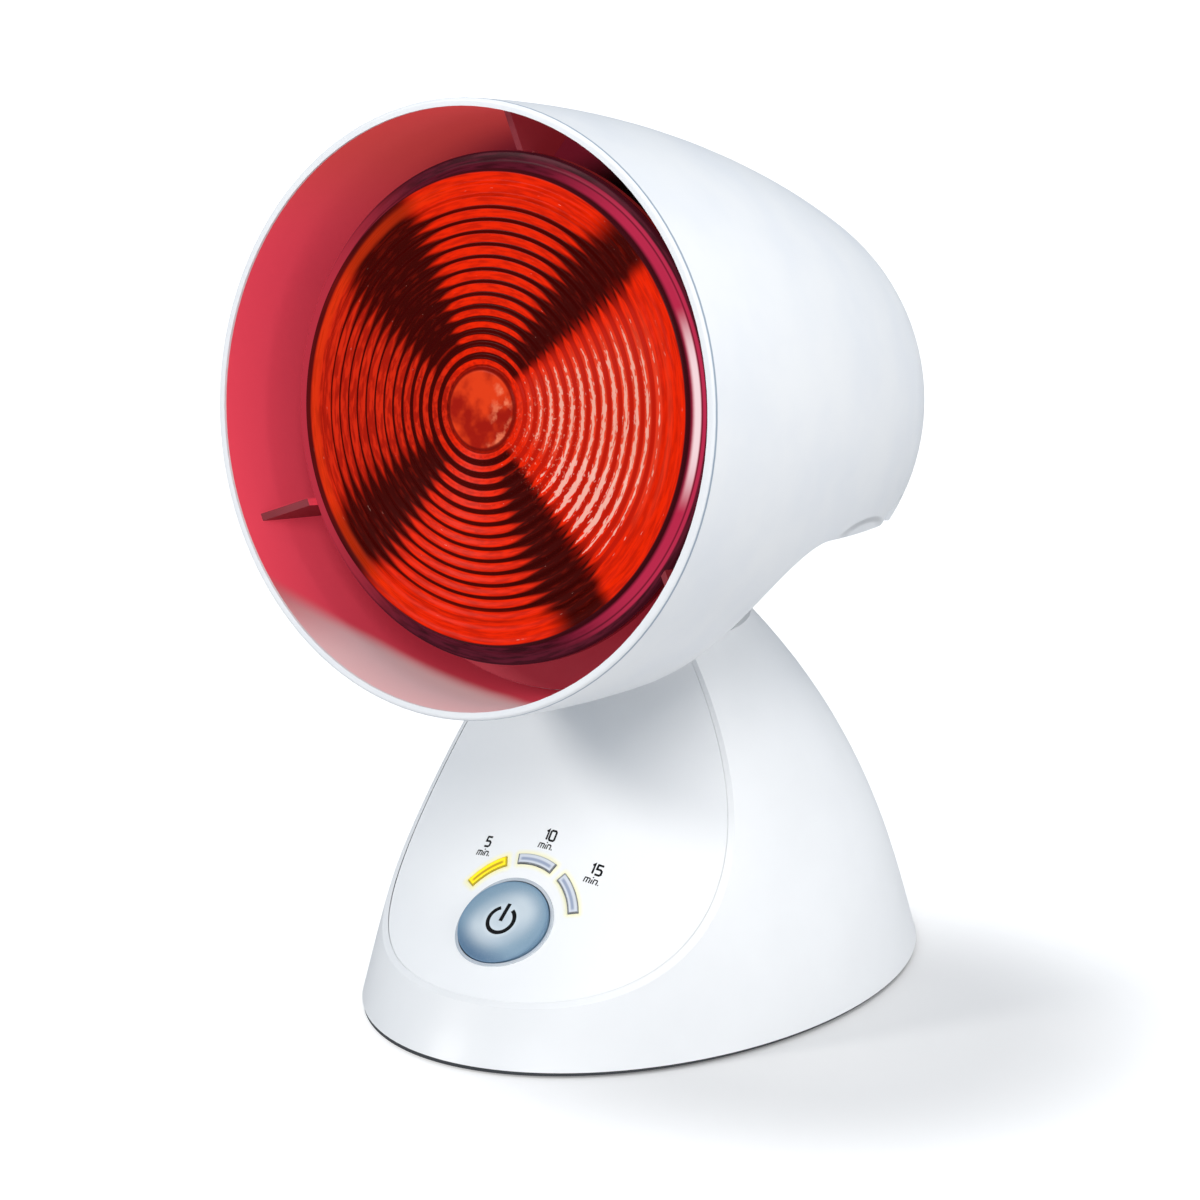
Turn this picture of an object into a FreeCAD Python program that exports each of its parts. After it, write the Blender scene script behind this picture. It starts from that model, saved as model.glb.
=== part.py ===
import FreeCAD, Part
import math
import os
import Sketcher

# Infrared heat therapy lamp: a bell-shaped head with a pressed-glass lamp, tilting on a domed base
# that holds the timer, its button and its three indicator windows.
# Millimetres, +Z up, the lamp faces -Y. The origin is on the floor under the middle of the whole lamp.

DRIVING = {
    # where the base and the hinge stand
    "base_offset": 1.76,           # the base's middle stands this far behind the origin
    "pivot_back": -4.0,            # hinge axis, measured from the base's middle
    "pivot_height": 136.0,
    "rest_tilt": 10.0,             # degrees that the lamp looks up in the pose drawn
    # base shell: elliptic sections that shrink towards the neck
    "base_half_width": 75.7,
    "base_half_depth": 104.8,
    "width_lost": 53.6,            # half width lost between the floor and neck_reference
    "width_power": 1.75,
    "depth_power": 2.5,            # how late the base's extra depth over its width is lost
    "foot_flare": 1.03,            # how much of that extra depth is lost close to the floor
    "flare_reach": 0.35,           # and over what share of the height
    "neck_lean": 4.8,              # the neck leans forward by this much at neck_reference
    "neck_reference": 130.0,
    "shell_foot": 1.8,             # lower edge of the shell above the floor
    "shell_top": 115.0,
    "shell_wall": 2.6,
    "neck_gap": 0.3,
    "neck_cap_top": 123.5,
    "neck_crown": 46.0,
    # control face: an inner piece of a ring surface, hollow along and crowned across
    "face_centre_ahead": 67.9,     # of the base's front edge
    "face_centre_height": 152.5,
    "face_hollow": 154.9,
    "face_crown": 128.9,
    "panel_thickness": 2.5,
    "panel_land": 1.3,             # shell edge left standing around the panel
    "panel_gap": 0.25,
    "ledge_thickness": 2.0,
    "ledge_width": 4.5,
    # controls, laid out on the tangent plane at the button's middle
    "button_angle": 40.657,        # up the hollow from its lowest line
    "button_half_width": 14.9,
    "button_half_length": 14.2,
    "button_gap": 0.35,
    "button_proud": 2.1,
    "button_crown": 90.0,
    "button_depth": 5.0,
    "button_flange": 1.4,
    "button_travel": 0.8,
    "stem_radius": 2.2,
    "bezel_width": 1.0,
    "bezel_proud": 0.35,
    "bezel_depth": 4.7,
    "bezel_fit": 0.03,
    "window_inner": 20.4,
    "window_outer": 23.6,
    "window_half_angle": 17.5,
    "window_step": 45.5,
    "window_middle": 88.0,
    "window_gap": 0.15,
    "window_proud": 0.35,
    "window_depth": 5.0,
    # boards
    "board_depth": 13.0,
    "board_thickness": 1.6,
    "board_half_width": 31.0,
    "board_low": 15.5,
    "board_high": 34.0,
    "post_radius": 3.2,
    "post_inset": 5.0,
    "screw_radius": 1.4,
    "screw_reach": 4.0,
    "screw_head_radius": 2.8,
    "screw_head_height": 1.8,
    "switch_side": 6.0,
    "switch_height": 3.6,
    "plunger_radius": 1.6,
    "plunger_gap": 0.1,
    "plunger_length": 2.2,
    "plunger_proud": 1.4,
    "led_radius": 1.5,
    "led_length": 5.0,
    "buzzer_radius": 6.0,
    "buzzer_height": 6.0,
    "power_board_width": 70.0,
    "power_board_depth": 62.0,
    "power_board_back": 22.0,
    "power_board_height": 10.0,
    "relay_side": 22.0,
    "relay_behind": 12.0,
    "relay_width": 16.0,
    "relay_depth": 20.0,
    "relay_height": 16.0,
    "capacitor_side": 4.0,
    "capacitor_behind": 14.0,
    "capacitor_width": 26.0,
    "capacitor_depth": 12.0,
    "capacitor_height": 18.0,
    "terminal_width": 30.0,
    "terminal_depth": 10.0,
    "terminal_height": 12.0,
    "fuse_radius": 2.6,
    "fuse_length": 20.0,
    # base plate, feet and cord inlet
    "plate_bottom": 0.8,
    "plate_flange": 1.0,
    "plate_top": 4.0,
    "plate_inset": 0.9,
    "plate_gap": 0.5,
    "foot_radius": 7.0,
    "foot_height": 2.4,
    "foot_side_inset": 31.7,       # of a foot's middle from the base's side
    "foot_end_inset": 38.8,        # and from its front and back
    "foot_gap": 0.15,
    "vent_width": 3.0,
    "vent_length": 34.0,
    "vent_pitch": 8.0,
    "plate_vents": 5,
    "vent_behind": 40.0,
    "boss_radius": 4.5,
    "boss_back": 30.0,
    "boss_top": 24.0,
    "boss_pilot": 1.3,
    "inlet_standoff": 0.3,
    "inlet_height": 14.0,
    "inlet_radius": 4.6,
    "inlet_flange": 7.0,
    "inlet_bore": 3.4,
    "inlet_gap": 0.1,
    "inlet_flange_thickness": 2.0,
    # hinge
    "knuckle_radius": 12.0,
    "knuckle_half_width": 13.0,
    "knuckle_slot": 5.0,
    "axle_radius": 3.0,
    "axle_half_length": 19.6,
    "axle_gap": 0.05,
    "bush_radius": 5.0,
    "bush_gap": 0.03,
    "bush_length": 7.4,
    "washer_radius": 9.0,
    "washer_thickness": 1.2,
    "hinge_gap": 0.3,
    "ear_thickness": 2.0,
    "ear_radius": 11.0,
    "clip_radius": 5.2,
    "clip_thickness": 1.0,
    "hinge_cap_radius": 12.4,
    "hinge_cap_length": 4.6,
    "hinge_cap_wall": 1.4,
    # head shell: two tangent arcs turned about the lamp's axis
    "axis_above_pivot": 44.8,
    "rim_before_pivot": 97.45,
    "rim_radius": 89.2,
    "head_length": 192.0,
    "tail_radius": 68.0,
    "head_wall": 2.4,
    "rim_round": 1.1,
    # cut-out under the head, measured behind the rim and below the lamp's axis
    "cut_behind_rim": 54.0,
    "cut_below_axis": 30.0,
    "cut_corner": 34.0,
    "cover_inset": 3.0,
    "cover_thickness": 2.2,
    "cover_gap": 0.4,
    "cover_window_half_width": 19.0,
    "cover_window_half_length": 15.0,
    "cover_vent_first": 27.0,
    "cover_vent_pitch": 7.5,
    "cover_vents": 4,
    "head_boss_first": 104.0,
    "head_boss_second": 140.0,
    "head_boss_length": 11.0,
    "head_boss_clear": 0.5,
    # finger hollows above the cut-out's rear edge
    "scoop_place": 150.0,          # behind the rim
    "scoop_length": 24.0,
    "scoop_height": 9.0,
    "scoop_depth": 6.0,
    "scoop_sink": 1.3,
    "scoop_turn": 32.0,            # follows the tail's narrowing
    # ribs that steady the lamp
    "rib_count": 3,
    "rib_thickness": 2.2,
    "rib_front": 8.0,
    "rib_back": 44.0,
    "rib_tip_front": 17.5,
    "rib_tip_back": 31.0,
    "rib_gap": 0.45,
    "rib_ledge": 3.2,
    # lamp
    "flange_radius": 74.5,
    "flange_front": 20.5,
    "flange_half_thickness": 2.0,
    "lens_radius": 68.5,
    "lens_edge": 15.9,
    "lens_rise": 4.6,
    "lens_glass": 3.6,
    "lens_rings": 16,
    "ring_depth": 0.7,
    "ring_step": 0.25,             # share of a ring's pitch that its steep side takes
    "bull_eye_radius": 11.5,
    "bulb_glass": 1.8,
    "bowl_mouth": 70.5,
    "bowl_shoulder": 48.5,
    "bowl_shoulder_place": 23.0,   # behind the flange
    "throat_radius": 21.0,
    "throat_place": 49.0,
    "neck_start": 92.0,
    "neck_taper": 1.4,
    "lamp_neck_radius": 17.0,
    "lamp_neck_end": 121.0,
    "lamp_cap_radius": 13.2,
    "lamp_cap_length": 22.0,
    "lamp_contact_radius": 4.5,
    "lamp_contact_length": 3.0,
    "stem_foot": 115.0,
    "stem_seal": 0.1,
    "filament_place": 58.0,
    "filament_radius": 9.0,
    "filament_wire": 0.9,
    "support_radius": 0.7,
    "support_length": 20.0,
    "stem_tip": 3.5,
    "stem_waist": 6.0,
    "stem_flare": 6.0,
    # lampholder and its bracket
    "holder_radius": 20.5,
    "holder_front": 122.6,
    "holder_length": 37.0,
    "holder_shell": 0.5,
    "holder_gap": 0.15,
    "holder_screw_spacing": 24.0,
    "bracket_thickness": 2.0,
    "bracket_half_width": 16.0,
}


class Size:
    """A length that carries its number and the sheet formula that gives the same number."""

    def __init__(self, value, formula=None):
        self.value = float(value)
        self.formula = formula if formula else repr(float(value))

    def join(self, other, sign, value):
        return Size(value, "(%s %s %s)" % (self.formula, sign, size(other).formula))

    def __add__(self, other):
        return self.join(other, "+", self.value + size(other).value)

    def __sub__(self, other):
        return self.join(other, "-", self.value - size(other).value)

    def __mul__(self, other):
        return self.join(other, "*", self.value * size(other).value)

    def __truediv__(self, other):
        return self.join(other, "/", self.value / size(other).value)

    def __pow__(self, other):
        return self.join(other, "^", self.value ** size(other).value)

    def __radd__(self, other):
        return size(other) + self

    def __rsub__(self, other):
        return size(other) - self

    def __rtruediv__(self, other):
        return size(other) / self

    def __rmul__(self, other):
        return size(other) * self

    def __neg__(self):
        return size(0) - self


def size(number):
    return number if isinstance(number, Size) else Size(number)


def root(square):
    return Size(math.sqrt(square.value), "sqrt(%s)" % square.formula)


def cosine(angle):
    angle = size(angle)
    return Size(math.cos(math.radians(angle.value)), "cos(%s)" % angle.formula)


def sine(angle):
    angle = size(angle)
    return Size(math.sin(math.radians(angle.value)), "sin(%s)" % angle.formula)


def arctangent(ratio):
    return Size(math.degrees(math.atan(ratio.value)), "atan(%s)" % ratio.formula)


class Sheet:
    """The document's spreadsheet, read back as named sizes."""

    def __init__(self, doc, values):
        self.cells = doc.addObject("Spreadsheet::Sheet", "Sizes")
        for row, (name, value) in enumerate(values.items(), start=1):
            self.cells.set("A%d" % row, name)
            self.cells.set("B%d" % row, str(value))
            self.cells.setAlias("B%d" % row, name)
        doc.recompute()

    def __getattr__(self, name):
        return Size(self.cells.get(name), "Sizes.%s" % name)


doc = FreeCAD.newDocument("heat_lamp")
dim = Sheet(doc, DRIVING)
finished = []


# ---------------------------------------------------------------- drawing helpers

def vector(x, y, z):
    return FreeCAD.Vector(size(x).value, size(y).value, size(z).value)


def placed(x=0, y=0, z=0, axis=(1, 0, 0), turn=0):
    rotation = FreeCAD.Rotation(FreeCAD.Vector(*axis), size(turn).value)
    return FreeCAD.Placement(vector(x, y, z), rotation)


def bind(thing, **sizes):
    """Tie each named property of a document object to its formula."""
    for name, wanted in sizes.items():
        thing.setExpression(name, size(wanted).formula)
    return thing


def new_body(name):
    body = doc.addObject("PartDesign::Body", name)
    body.AllowCompound = True
    return body


def new_sketch(body, plane, name="outline", lift=None):
    sketch = body.newObject("Sketcher::SketchObject", name)
    support = [f for f in body.Origin.OriginFeatures if f.Role == plane][0]
    sketch.AttachmentSupport = [(support, "")]
    sketch.MapMode = "FlatFace"
    if lift is not None:
        sketch.setExpression("AttachmentOffset.Base.z", size(lift).formula)
        sketch.AttachmentOffset = placed(0, 0, lift)
    return sketch


def fix_point(sketch, edge, end, x, y):
    """Hold one end of an edge at a place worked out from the sheet."""
    for word, axis, wanted in (("DistanceX", -2, size(x)), ("DistanceY", -1, size(y))):
        if wanted.value == 0:
            sketch.addConstraint(Sketcher.Constraint("PointOnObject", edge, end, axis))
            continue
        rule = Sketcher.Constraint(word, -1, 1, edge, end, wanted.value)
        index = sketch.addConstraint(rule)
        sketch.setExpression("Constraints[%d]" % index, wanted.formula)


def arc_between(start, end, centre):
    """The shorter arc about a centre, and whether it runs backwards."""
    first = math.atan2(start[1] - centre[1], start[0] - centre[0])
    last = math.atan2(end[1] - centre[1], end[0] - centre[0])
    radius = math.hypot(start[0] - centre[0], start[1] - centre[1])
    circle = Part.Circle(FreeCAD.Vector(centre[0], centre[1], 0), FreeCAD.Vector(0, 0, 1), radius)
    backwards = (last - first) % (2 * math.pi) > math.pi
    if backwards:
        first, last = last, first
    if last < first:
        last += 2 * math.pi
    return Part.ArcOfCircle(circle, first, last), backwards


def outline(sketch, corners):
    """A closed outline. A corner is (x, y), or (x, y, radius, centre) when an arc leaves it."""
    points = [(size(c[0]).value, size(c[1]).value) for c in corners]
    ends = []
    for index, corner in enumerate(corners):
        start = points[index]
        stop = points[(index + 1) % len(points)]
        if len(corner) == 2:
            line = Part.LineSegment(FreeCAD.Vector(*start, 0), FreeCAD.Vector(*stop, 0))
            edge = sketch.addGeometry(line, False)
            ends.append((edge, 1, 2))
            continue
        centre = (size(corner[3][0]).value, size(corner[3][1]).value)
        arc, backwards = arc_between(start, stop, centre)
        edge = sketch.addGeometry(arc, False)
        ends.append((edge, 2, 1) if backwards else (edge, 1, 2))
    for index, (edge, first, last) in enumerate(ends):
        after = ends[(index + 1) % len(ends)]
        sketch.addConstraint(Sketcher.Constraint("Coincident", edge, last, after[0], after[1]))
    for index, corner in enumerate(corners):
        edge, first, last = ends[index]
        fix_point(sketch, edge, first, corner[0], corner[1])
        if len(corner) == 4:
            rule = Sketcher.Constraint("Radius", edge, size(corner[2]).value)
            number = sketch.addConstraint(rule)
            sketch.setExpression("Constraints[%d]" % number, size(corner[2]).formula)
    return sketch


def ring(sketch, x, y, radius):
    """A circle about a bound middle."""
    middle = vector(x, y, 0)
    circle = Part.Circle(middle, FreeCAD.Vector(0, 0, 1), size(radius).value)
    edge = sketch.addGeometry(circle, False)
    fix_point(sketch, edge, 3, x, y)
    index = sketch.addConstraint(Sketcher.Constraint("Radius", edge, size(radius).value))
    sketch.setExpression("Constraints[%d]" % index, size(radius).formula)
    return sketch


def rectangle(low_x, low_y, high_x, high_y):
    return [(low_x, low_y), (high_x, low_y), (high_x, high_y), (low_x, high_y)]


def feature(body, kind, sketch, name, **sizes):
    made = body.newObject("PartDesign::" + kind, name)
    made.Profile = sketch
    bind(made, **sizes)
    body.Tip = made
    return made


def pad(body, sketch, length, both_ways=False, backwards=False):
    made = feature(body, "Pad", sketch, "pad", Length=length)
    made.Midplane = both_ways
    made.Reversed = backwards
    return made


def cut_through(body, sketch):
    made = feature(body, "Pocket", sketch, "cut")
    made.Type = 1
    made.Midplane = True
    return made


PLANE_OF_AXIS = {"X": "XZ_Plane", "Y": "YZ_Plane", "Z": "XZ_Plane"}


def turned(name, axis, corners, body=None, cutting=False):
    """A turned piece. Corners are (along the axis, radius), with arcs as in outline."""
    body = body or new_body(name)
    sketch = new_sketch(body, PLANE_OF_AXIS[axis], "half_section")
    if axis == "Z":
        corners = [(c[1], c[0]) + tuple(c[2:3]) + tuple((m[1], m[0]) for m in c[3:]) for c in corners]
    outline(sketch, corners)
    kind = "Groove" if cutting else "Revolution"
    made = feature(body, kind, sketch, "turn")
    made.ReferenceAxis = (sketch, ["V_Axis" if axis == "Z" else "H_Axis"])
    made.Angle = 360
    return body


def tube(name, axis, start, end, outer, inner):
    return turned(name, axis, [(start, inner), (end, inner), (end, outer), (start, outer)])


def rod(name, axis, start, end, radius):
    return turned(name, axis, [(start, 0), (end, 0), (end, radius), (start, radius)])


def box(name, low, high):
    """A box between two bound corners."""
    body = new_body(name)
    sketch = new_sketch(body, "XY_Plane", "outline", low[2])
    outline(sketch, rectangle(low[0], low[1], high[0], high[1]))
    pad(body, sketch, size(high[2]) - low[2])
    return body


def combine(kind, name, *pieces):
    """Part's own booleans: Cut, MultiFuse, MultiCommon or Compound."""
    made = doc.addObject("Part::" + kind, name)
    if kind == "Cut":
        made.Base, made.Tool = pieces
    elif kind == "Compound":
        made.Links = list(pieces)
    else:
        made.Shapes = list(pieces)
    return made


def cut(name, base, *tools):
    tool = tools[0] if len(tools) == 1 else combine("MultiFuse", name + "_tools", *tools)
    return combine("Cut", name, base, tool)


def finish(thing, name, placement=None):
    """Name a sub-part, put it in its place and list it for writing."""
    thing.Label = name
    if placement is not None:
        thing.Placement = placement.multiply(thing.Placement)
    finished.append(thing)
    return thing


def ellipse_prism(name, half_x, half_y, low, high, front=0):
    """An upright elliptic block."""
    half_x = size(half_x)
    half_y = size(half_y)
    rim = doc.addObject("Part::Ellipse", name + "_rim")
    if half_x.value >= half_y.value:
        bind(rim, MajorRadius=half_x, MinorRadius=half_y)
        turn = 0
    else:
        bind(rim, MajorRadius=half_y, MinorRadius=half_x)
        turn = 90
    rim.Placement = placed(0, -size(front), low, (0, 0, 1), turn)
    block = doc.addObject("Part::Extrusion", name)
    block.Base = rim
    block.DirMode = "Custom"
    block.Dir = FreeCAD.Vector(0, 0, 1)
    block.Solid = True
    bind(block, LengthFwd=size(high) - low)
    return block


# ---------------------------------------------------------------- shared frames

BASE = placed(0, dim.base_offset, 0)
HEAD = placed(0, dim.base_offset + dim.pivot_back, dim.pivot_height, (1, 0, 0), -dim.rest_tilt)
HINGE = placed(0, dim.base_offset + dim.pivot_back, dim.pivot_height)
LAMP = HEAD.multiply(placed(0, -dim.rim_before_pivot, dim.axis_above_pivot))

# the control face's tangent plane at the button: local Z points out of the face, local Y up the slope
face_centre_front = dim.base_half_depth + dim.face_centre_ahead
button_front = face_centre_front - dim.face_hollow * sine(dim.button_angle)
button_height = dim.face_centre_height - dim.face_hollow * cosine(dim.button_angle)
FACE = placed(0, dim.base_offset - button_front, button_height, (1, 0, 0), dim.button_angle)
FACE_IN_BASE = placed(0, -button_front, button_height, (1, 0, 0), dim.button_angle)


# ---------------------------------------------------------------- base forms

def half_width_at(height):
    share = size(height) / dim.neck_reference
    return dim.base_half_width - dim.width_lost * share ** dim.width_power


def half_depth_at(height):
    """The base is always deeper than wide: the surplus fades from the floor to the neck."""
    share = size(height) / dim.neck_reference
    flare = dim.foot_flare * share * (1 - share) / (share + dim.flare_reach)
    surplus = 1 - share ** dim.depth_power - flare
    return half_width_at(height) + (dim.base_half_depth - dim.base_half_width) * surplus


def dome(name, shrink=0):
    """The bell's elliptic sections from the floor to the neck, smaller all round by shrink."""
    sections = []
    levels = 8
    for step in range(levels):
        height = dim.neck_cap_top * step / (levels - 1)
        share = height / dim.neck_reference
        rim = doc.addObject("Part::Ellipse", name + "_section")
        bind(rim, MajorRadius=half_depth_at(height) - shrink, MinorRadius=half_width_at(height) - shrink)
        lean = dim.neck_lean * share ** 3
        rim.Placement = placed(0, -lean, height, (0, 0, 1), 90)
        sections.append(rim)
    form = doc.addObject("Part::Loft", name)
    form.Sections = sections
    form.Solid = True
    form.Ruled = False
    return form


def slab(name, low, high):
    """Everything between two heights."""
    reach = dim.base_half_depth * 1.2
    return box(name, (-reach, -reach, low), (reach, reach, high))


def face_ring(name, inward):
    """The ring whose inner side is the control face, set back by inward."""
    form = doc.addObject("Part::Torus", name)
    bind(form, Radius1=dim.face_hollow + dim.face_crown, Radius2=dim.face_crown - inward)
    form.Placement = placed(0, -face_centre_front, dim.face_centre_height, (0, 1, 0), 90)
    return form


def sector(name, inner, outer, middle, half_angle, low, high):
    """A flat piece of a ring on the control plane."""
    body = new_body(name)
    sketch = new_sketch(body, "XY_Plane", "outline", low)
    first = middle - half_angle
    last = middle + half_angle
    corners = [
        (outer * cosine(first), outer * sine(first), outer, (0, 0)),
        (outer * cosine(last), outer * sine(last)),
        (inner * cosine(last), inner * sine(last), inner, (0, 0)),
        (inner * cosine(first), inner * sine(first)),
    ]
    outline(sketch, corners)
    pad(body, sketch, size(high) - low)
    return body


def upright_rods(name, places, radius, low, high):
    """Equal upright rods in one body."""
    body = new_body(name)
    sketch = new_sketch(body, "XY_Plane", "circles", low)
    for x, y in places:
        ring(sketch, x, y, radius)
    pad(body, sketch, size(high) - low)
    return body


def four_places(x, y):
    return [(sx * x, sy * y) for sx in (1, -1) for sy in (1, -1)]


inner_depth = dim.base_half_depth - dim.shell_wall
inner_width = dim.base_half_width - dim.shell_wall
boss_share = dim.boss_back / inner_depth
boss_across = inner_width * root(1 - boss_share * boss_share) - dim.boss_radius * 0.8
boss_places = four_places(boss_across, dim.boss_back)
knuckle_screws = [(side * (dim.knuckle_half_width - 3.5), dim.pivot_back) for side in (1, -1)]
ledge_back = dim.panel_thickness + dim.panel_gap + dim.ledge_thickness
inlet_wall = half_depth_at(dim.inlet_height) + dim.inlet_standoff
inlet_run = half_depth_at(dim.inlet_height - dim.inlet_radius)
inlet_run = inlet_run - half_depth_at(dim.inlet_height + dim.inlet_radius)
inlet_lean = arctangent(inlet_run / (dim.inlet_radius * 2))
INLET = placed(0, inlet_wall, dim.inlet_height, (1, 0, 0), inlet_lean)


def make_base_shell():
    form = combine(
        "MultiCommon", "base_form", dome("dome_outside"), face_ring("face_outside", 0),
        slab("shell_height", dim.shell_foot, dim.shell_top),
    )
    hollow = combine(
        "MultiCommon", "base_hollow",
        dome("dome_inside", dim.shell_wall), face_ring("face_inside", ledge_back),
        slab("hollow_height", 0, dim.shell_top - dim.shell_wall),
    )
    seat = cut(
        "panel_seat", dome("seat_edge", dim.panel_land),
        face_ring("seat_back", dim.panel_thickness + dim.panel_gap),
    )
    opening = cut(
        "panel_opening", dome("opening_edge", dim.shell_wall + dim.ledge_width),
        face_ring("opening_back", ledge_back + 1),
    )
    neck_hole = rod("neck_hole", "Z", dim.shell_top - 10, dim.shell_top + 2, dim.knuckle_slot + 1)
    neck_hole.Placement = placed(0, dim.pivot_back, 0)
    screw_holes = upright_rods(
        "knuckle_screw_holes", knuckle_screws, dim.screw_radius + 0.2, dim.shell_top - 10, dim.shell_top + 2,
    )
    inlet_hole = rod("inlet_hole", "Y", -12, 8, dim.inlet_radius + dim.inlet_gap)
    inlet_hole.Placement = INLET
    wall = cut("base_wall", form, hollow, seat, opening, neck_hole, screw_holes, inlet_hole)
    bosses = combine(
        "MultiCommon", "base_bosses",
        upright_rods("boss_rods", boss_places, dim.boss_radius, dim.plate_top, dim.boss_top),
        dome("boss_limit", dim.shell_wall / 2),
    )
    pilots = upright_rods("boss_pilots", boss_places, dim.boss_pilot, 0, dim.boss_top - 4)
    solid = combine("MultiFuse", "base_solid", wall, bosses)
    finish(cut("base_shell_solid", solid, pilots), "base_shell", BASE)


def button_prism(name, grow, low, high):
    """The button's oval, larger all round by grow, on the control plane."""
    return ellipse_prism(
        name, dim.button_half_width + grow, dim.button_half_length + grow, low, high,
    )


hole_grow = dim.button_gap + dim.bezel_width
WINDOWS = (("five", 1), ("ten", 0), ("fifteen", -1))
post_places = [
    (side * (dim.board_half_width - dim.post_inset), end)
    for side in (1, -1)
    for end in (-dim.board_low + dim.post_inset, dim.board_high - dim.post_inset)
]
board_top = -dim.board_depth
plunger_top = board_top + dim.switch_height + dim.plunger_proud


def window(name, step, grow, low, high):
    return sector(
        name, dim.window_inner - grow, dim.window_outer + grow,
        dim.window_middle + dim.window_step * step,
        dim.window_half_angle + grow * 180 / (dim.window_outer * math.pi), low, high,
    )


def make_control_panel():
    sheet = cut(
        "panel_sheet",
        combine(
            "MultiCommon", "panel_form",
            dome("panel_edge", dim.panel_land + dim.panel_gap), face_ring("panel_front", 0),
            slab("panel_height", dim.shell_foot, dim.shell_top),
        ),
        face_ring("panel_back", dim.panel_thickness),
    )
    posts = upright_rods("panel_post_rods", post_places, dim.post_radius, board_top, 4)
    posts.Placement = FACE_IN_BASE
    posts = combine("MultiCommon", "panel_posts", posts, face_ring("post_limit", dim.panel_thickness / 2))
    tools = [button_prism("button_hole", hole_grow, -12, 6)]
    for name, step in WINDOWS:
        tools.append(window("window_hole_" + name, step, dim.window_gap, -12, 6))
    tools.append(upright_rods("post_pilots", post_places, dim.screw_radius, board_top - 1, board_top + 7))
    for tool in tools:
        tool.Placement = FACE_IN_BASE.multiply(tool.Placement)
    solid = combine("MultiFuse", "panel_solid", sheet, posts)
    finish(cut("control_panel_solid", solid, *tools), "control_panel", BASE)


def make_button():
    cap = button_prism("button_body", 0, -dim.button_depth, dim.button_proud)
    crown = doc.addObject("Part::Sphere", "button_crown_ball")
    bind(crown, Radius=dim.button_crown)
    crown.Placement = placed(0, 0, dim.button_proud - dim.button_crown)
    cap = combine("MultiCommon", "button_cap", cap, crown)
    skirt = button_prism(
        "button_skirt", dim.button_flange, -dim.button_depth - 1.2, -dim.button_depth,
    )
    stem = rod("button_stem", "Z", plunger_top, -dim.button_depth, dim.stem_radius)
    finish(combine("MultiFuse", "button_solid", cap, skirt, stem), "power_button", FACE)
    plunger = rod("plunger_body", "Z", plunger_top - dim.plunger_length, plunger_top, dim.plunger_radius)
    finish(plunger, "switch_plunger", FACE)
    tube_form = cut(
        "bezel_tube",
        button_prism("bezel_outside", hole_grow - dim.bezel_fit, -dim.bezel_depth, 6),
        button_prism("bezel_inside", dim.button_gap, -dim.bezel_depth - 1, 7),
    )
    follow_face("button_bezel", tube_form, dim.bezel_proud)


def follow_face(name, form, proud):
    """Trim a piece drawn on the control plane so that it stands a little proud of the curved face."""
    form.Placement = FACE_IN_BASE.multiply(form.Placement)
    finish(combine("MultiCommon", name + "_solid", form, face_ring(name + "_skin", -proud)), name, BASE)


def make_windows():
    for name, step in WINDOWS:
        form = window("window_" + name, step, 0, -dim.window_depth, 6)
        follow_face("indicator_window_" + name, form, dim.window_proud)


def make_timer_board():
    board = box(
        "timer_board_body",
        (-dim.board_half_width, -dim.board_low, board_top - dim.board_thickness),
        (dim.board_half_width, dim.board_high, board_top),
    )
    cut_through(board, board_screw_holes(board))
    finish(board, "timer_board", FACE)
    half = dim.switch_side / 2
    switch = box("tact_switch_body", (-half, -half, board_top), (half, half, board_top + dim.switch_height))
    sketch = new_sketch(switch, "XY_Plane", "plunger_well", board_top + dim.switch_height)
    ring(sketch, 0, 0, dim.plunger_radius + dim.plunger_gap)
    feature(switch, "Pocket", sketch, "well", Length=dim.plunger_length)
    finish(switch, "tact_switch", FACE)
    radius = (dim.window_inner + dim.window_outer) / 2
    places = []
    for name, step in WINDOWS:
        angle = dim.window_middle + dim.window_step * step
        places.append((radius * cosine(angle), radius * sine(angle)))
    leds = upright_rods("led_rods", places, dim.led_radius, board_top, board_top + dim.led_length)
    finish(leds, "indicator_leds", FACE)
    buzzer = rod("buzzer_body", "Z", board_top, board_top + dim.buzzer_height, dim.buzzer_radius)
    finish(buzzer, "buzzer", FACE.multiply(placed(dim.board_half_width - dim.buzzer_radius * 1.4, -1, 0)))
    low = board_top - dim.board_thickness
    shank = upright_rods("board_screw_shanks", post_places, dim.screw_radius, low, board_top + 6)
    sketch = new_sketch(shank, "XY_Plane", "heads", low)
    for x, y in post_places:
        ring(sketch, x, y, dim.screw_head_radius)
    pad(shank, sketch, dim.screw_head_height, backwards=True)
    finish(shank, "board_screws", FACE)


def board_screw_holes(body):
    sketch = new_sketch(body, "XY_Plane", "holes", board_top)
    for x, y in post_places:
        ring(sketch, x, y, dim.screw_radius + 0.1)
    return sketch


plate_half_x = dim.base_half_width - dim.plate_inset
plate_half_y = dim.base_half_depth - dim.plate_inset
foot_places = four_places(
    dim.base_half_width - dim.foot_side_inset, dim.base_half_depth - dim.foot_end_inset,
)
power_floor = dim.power_board_height
stand_places = [
    (side * (dim.power_board_width / 2 - dim.post_inset), dim.power_board_back + end)
    for side in (1, -1)
    for end in (-dim.power_board_depth / 2 + dim.post_inset, dim.power_board_depth / 2 - dim.post_inset)
]


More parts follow.
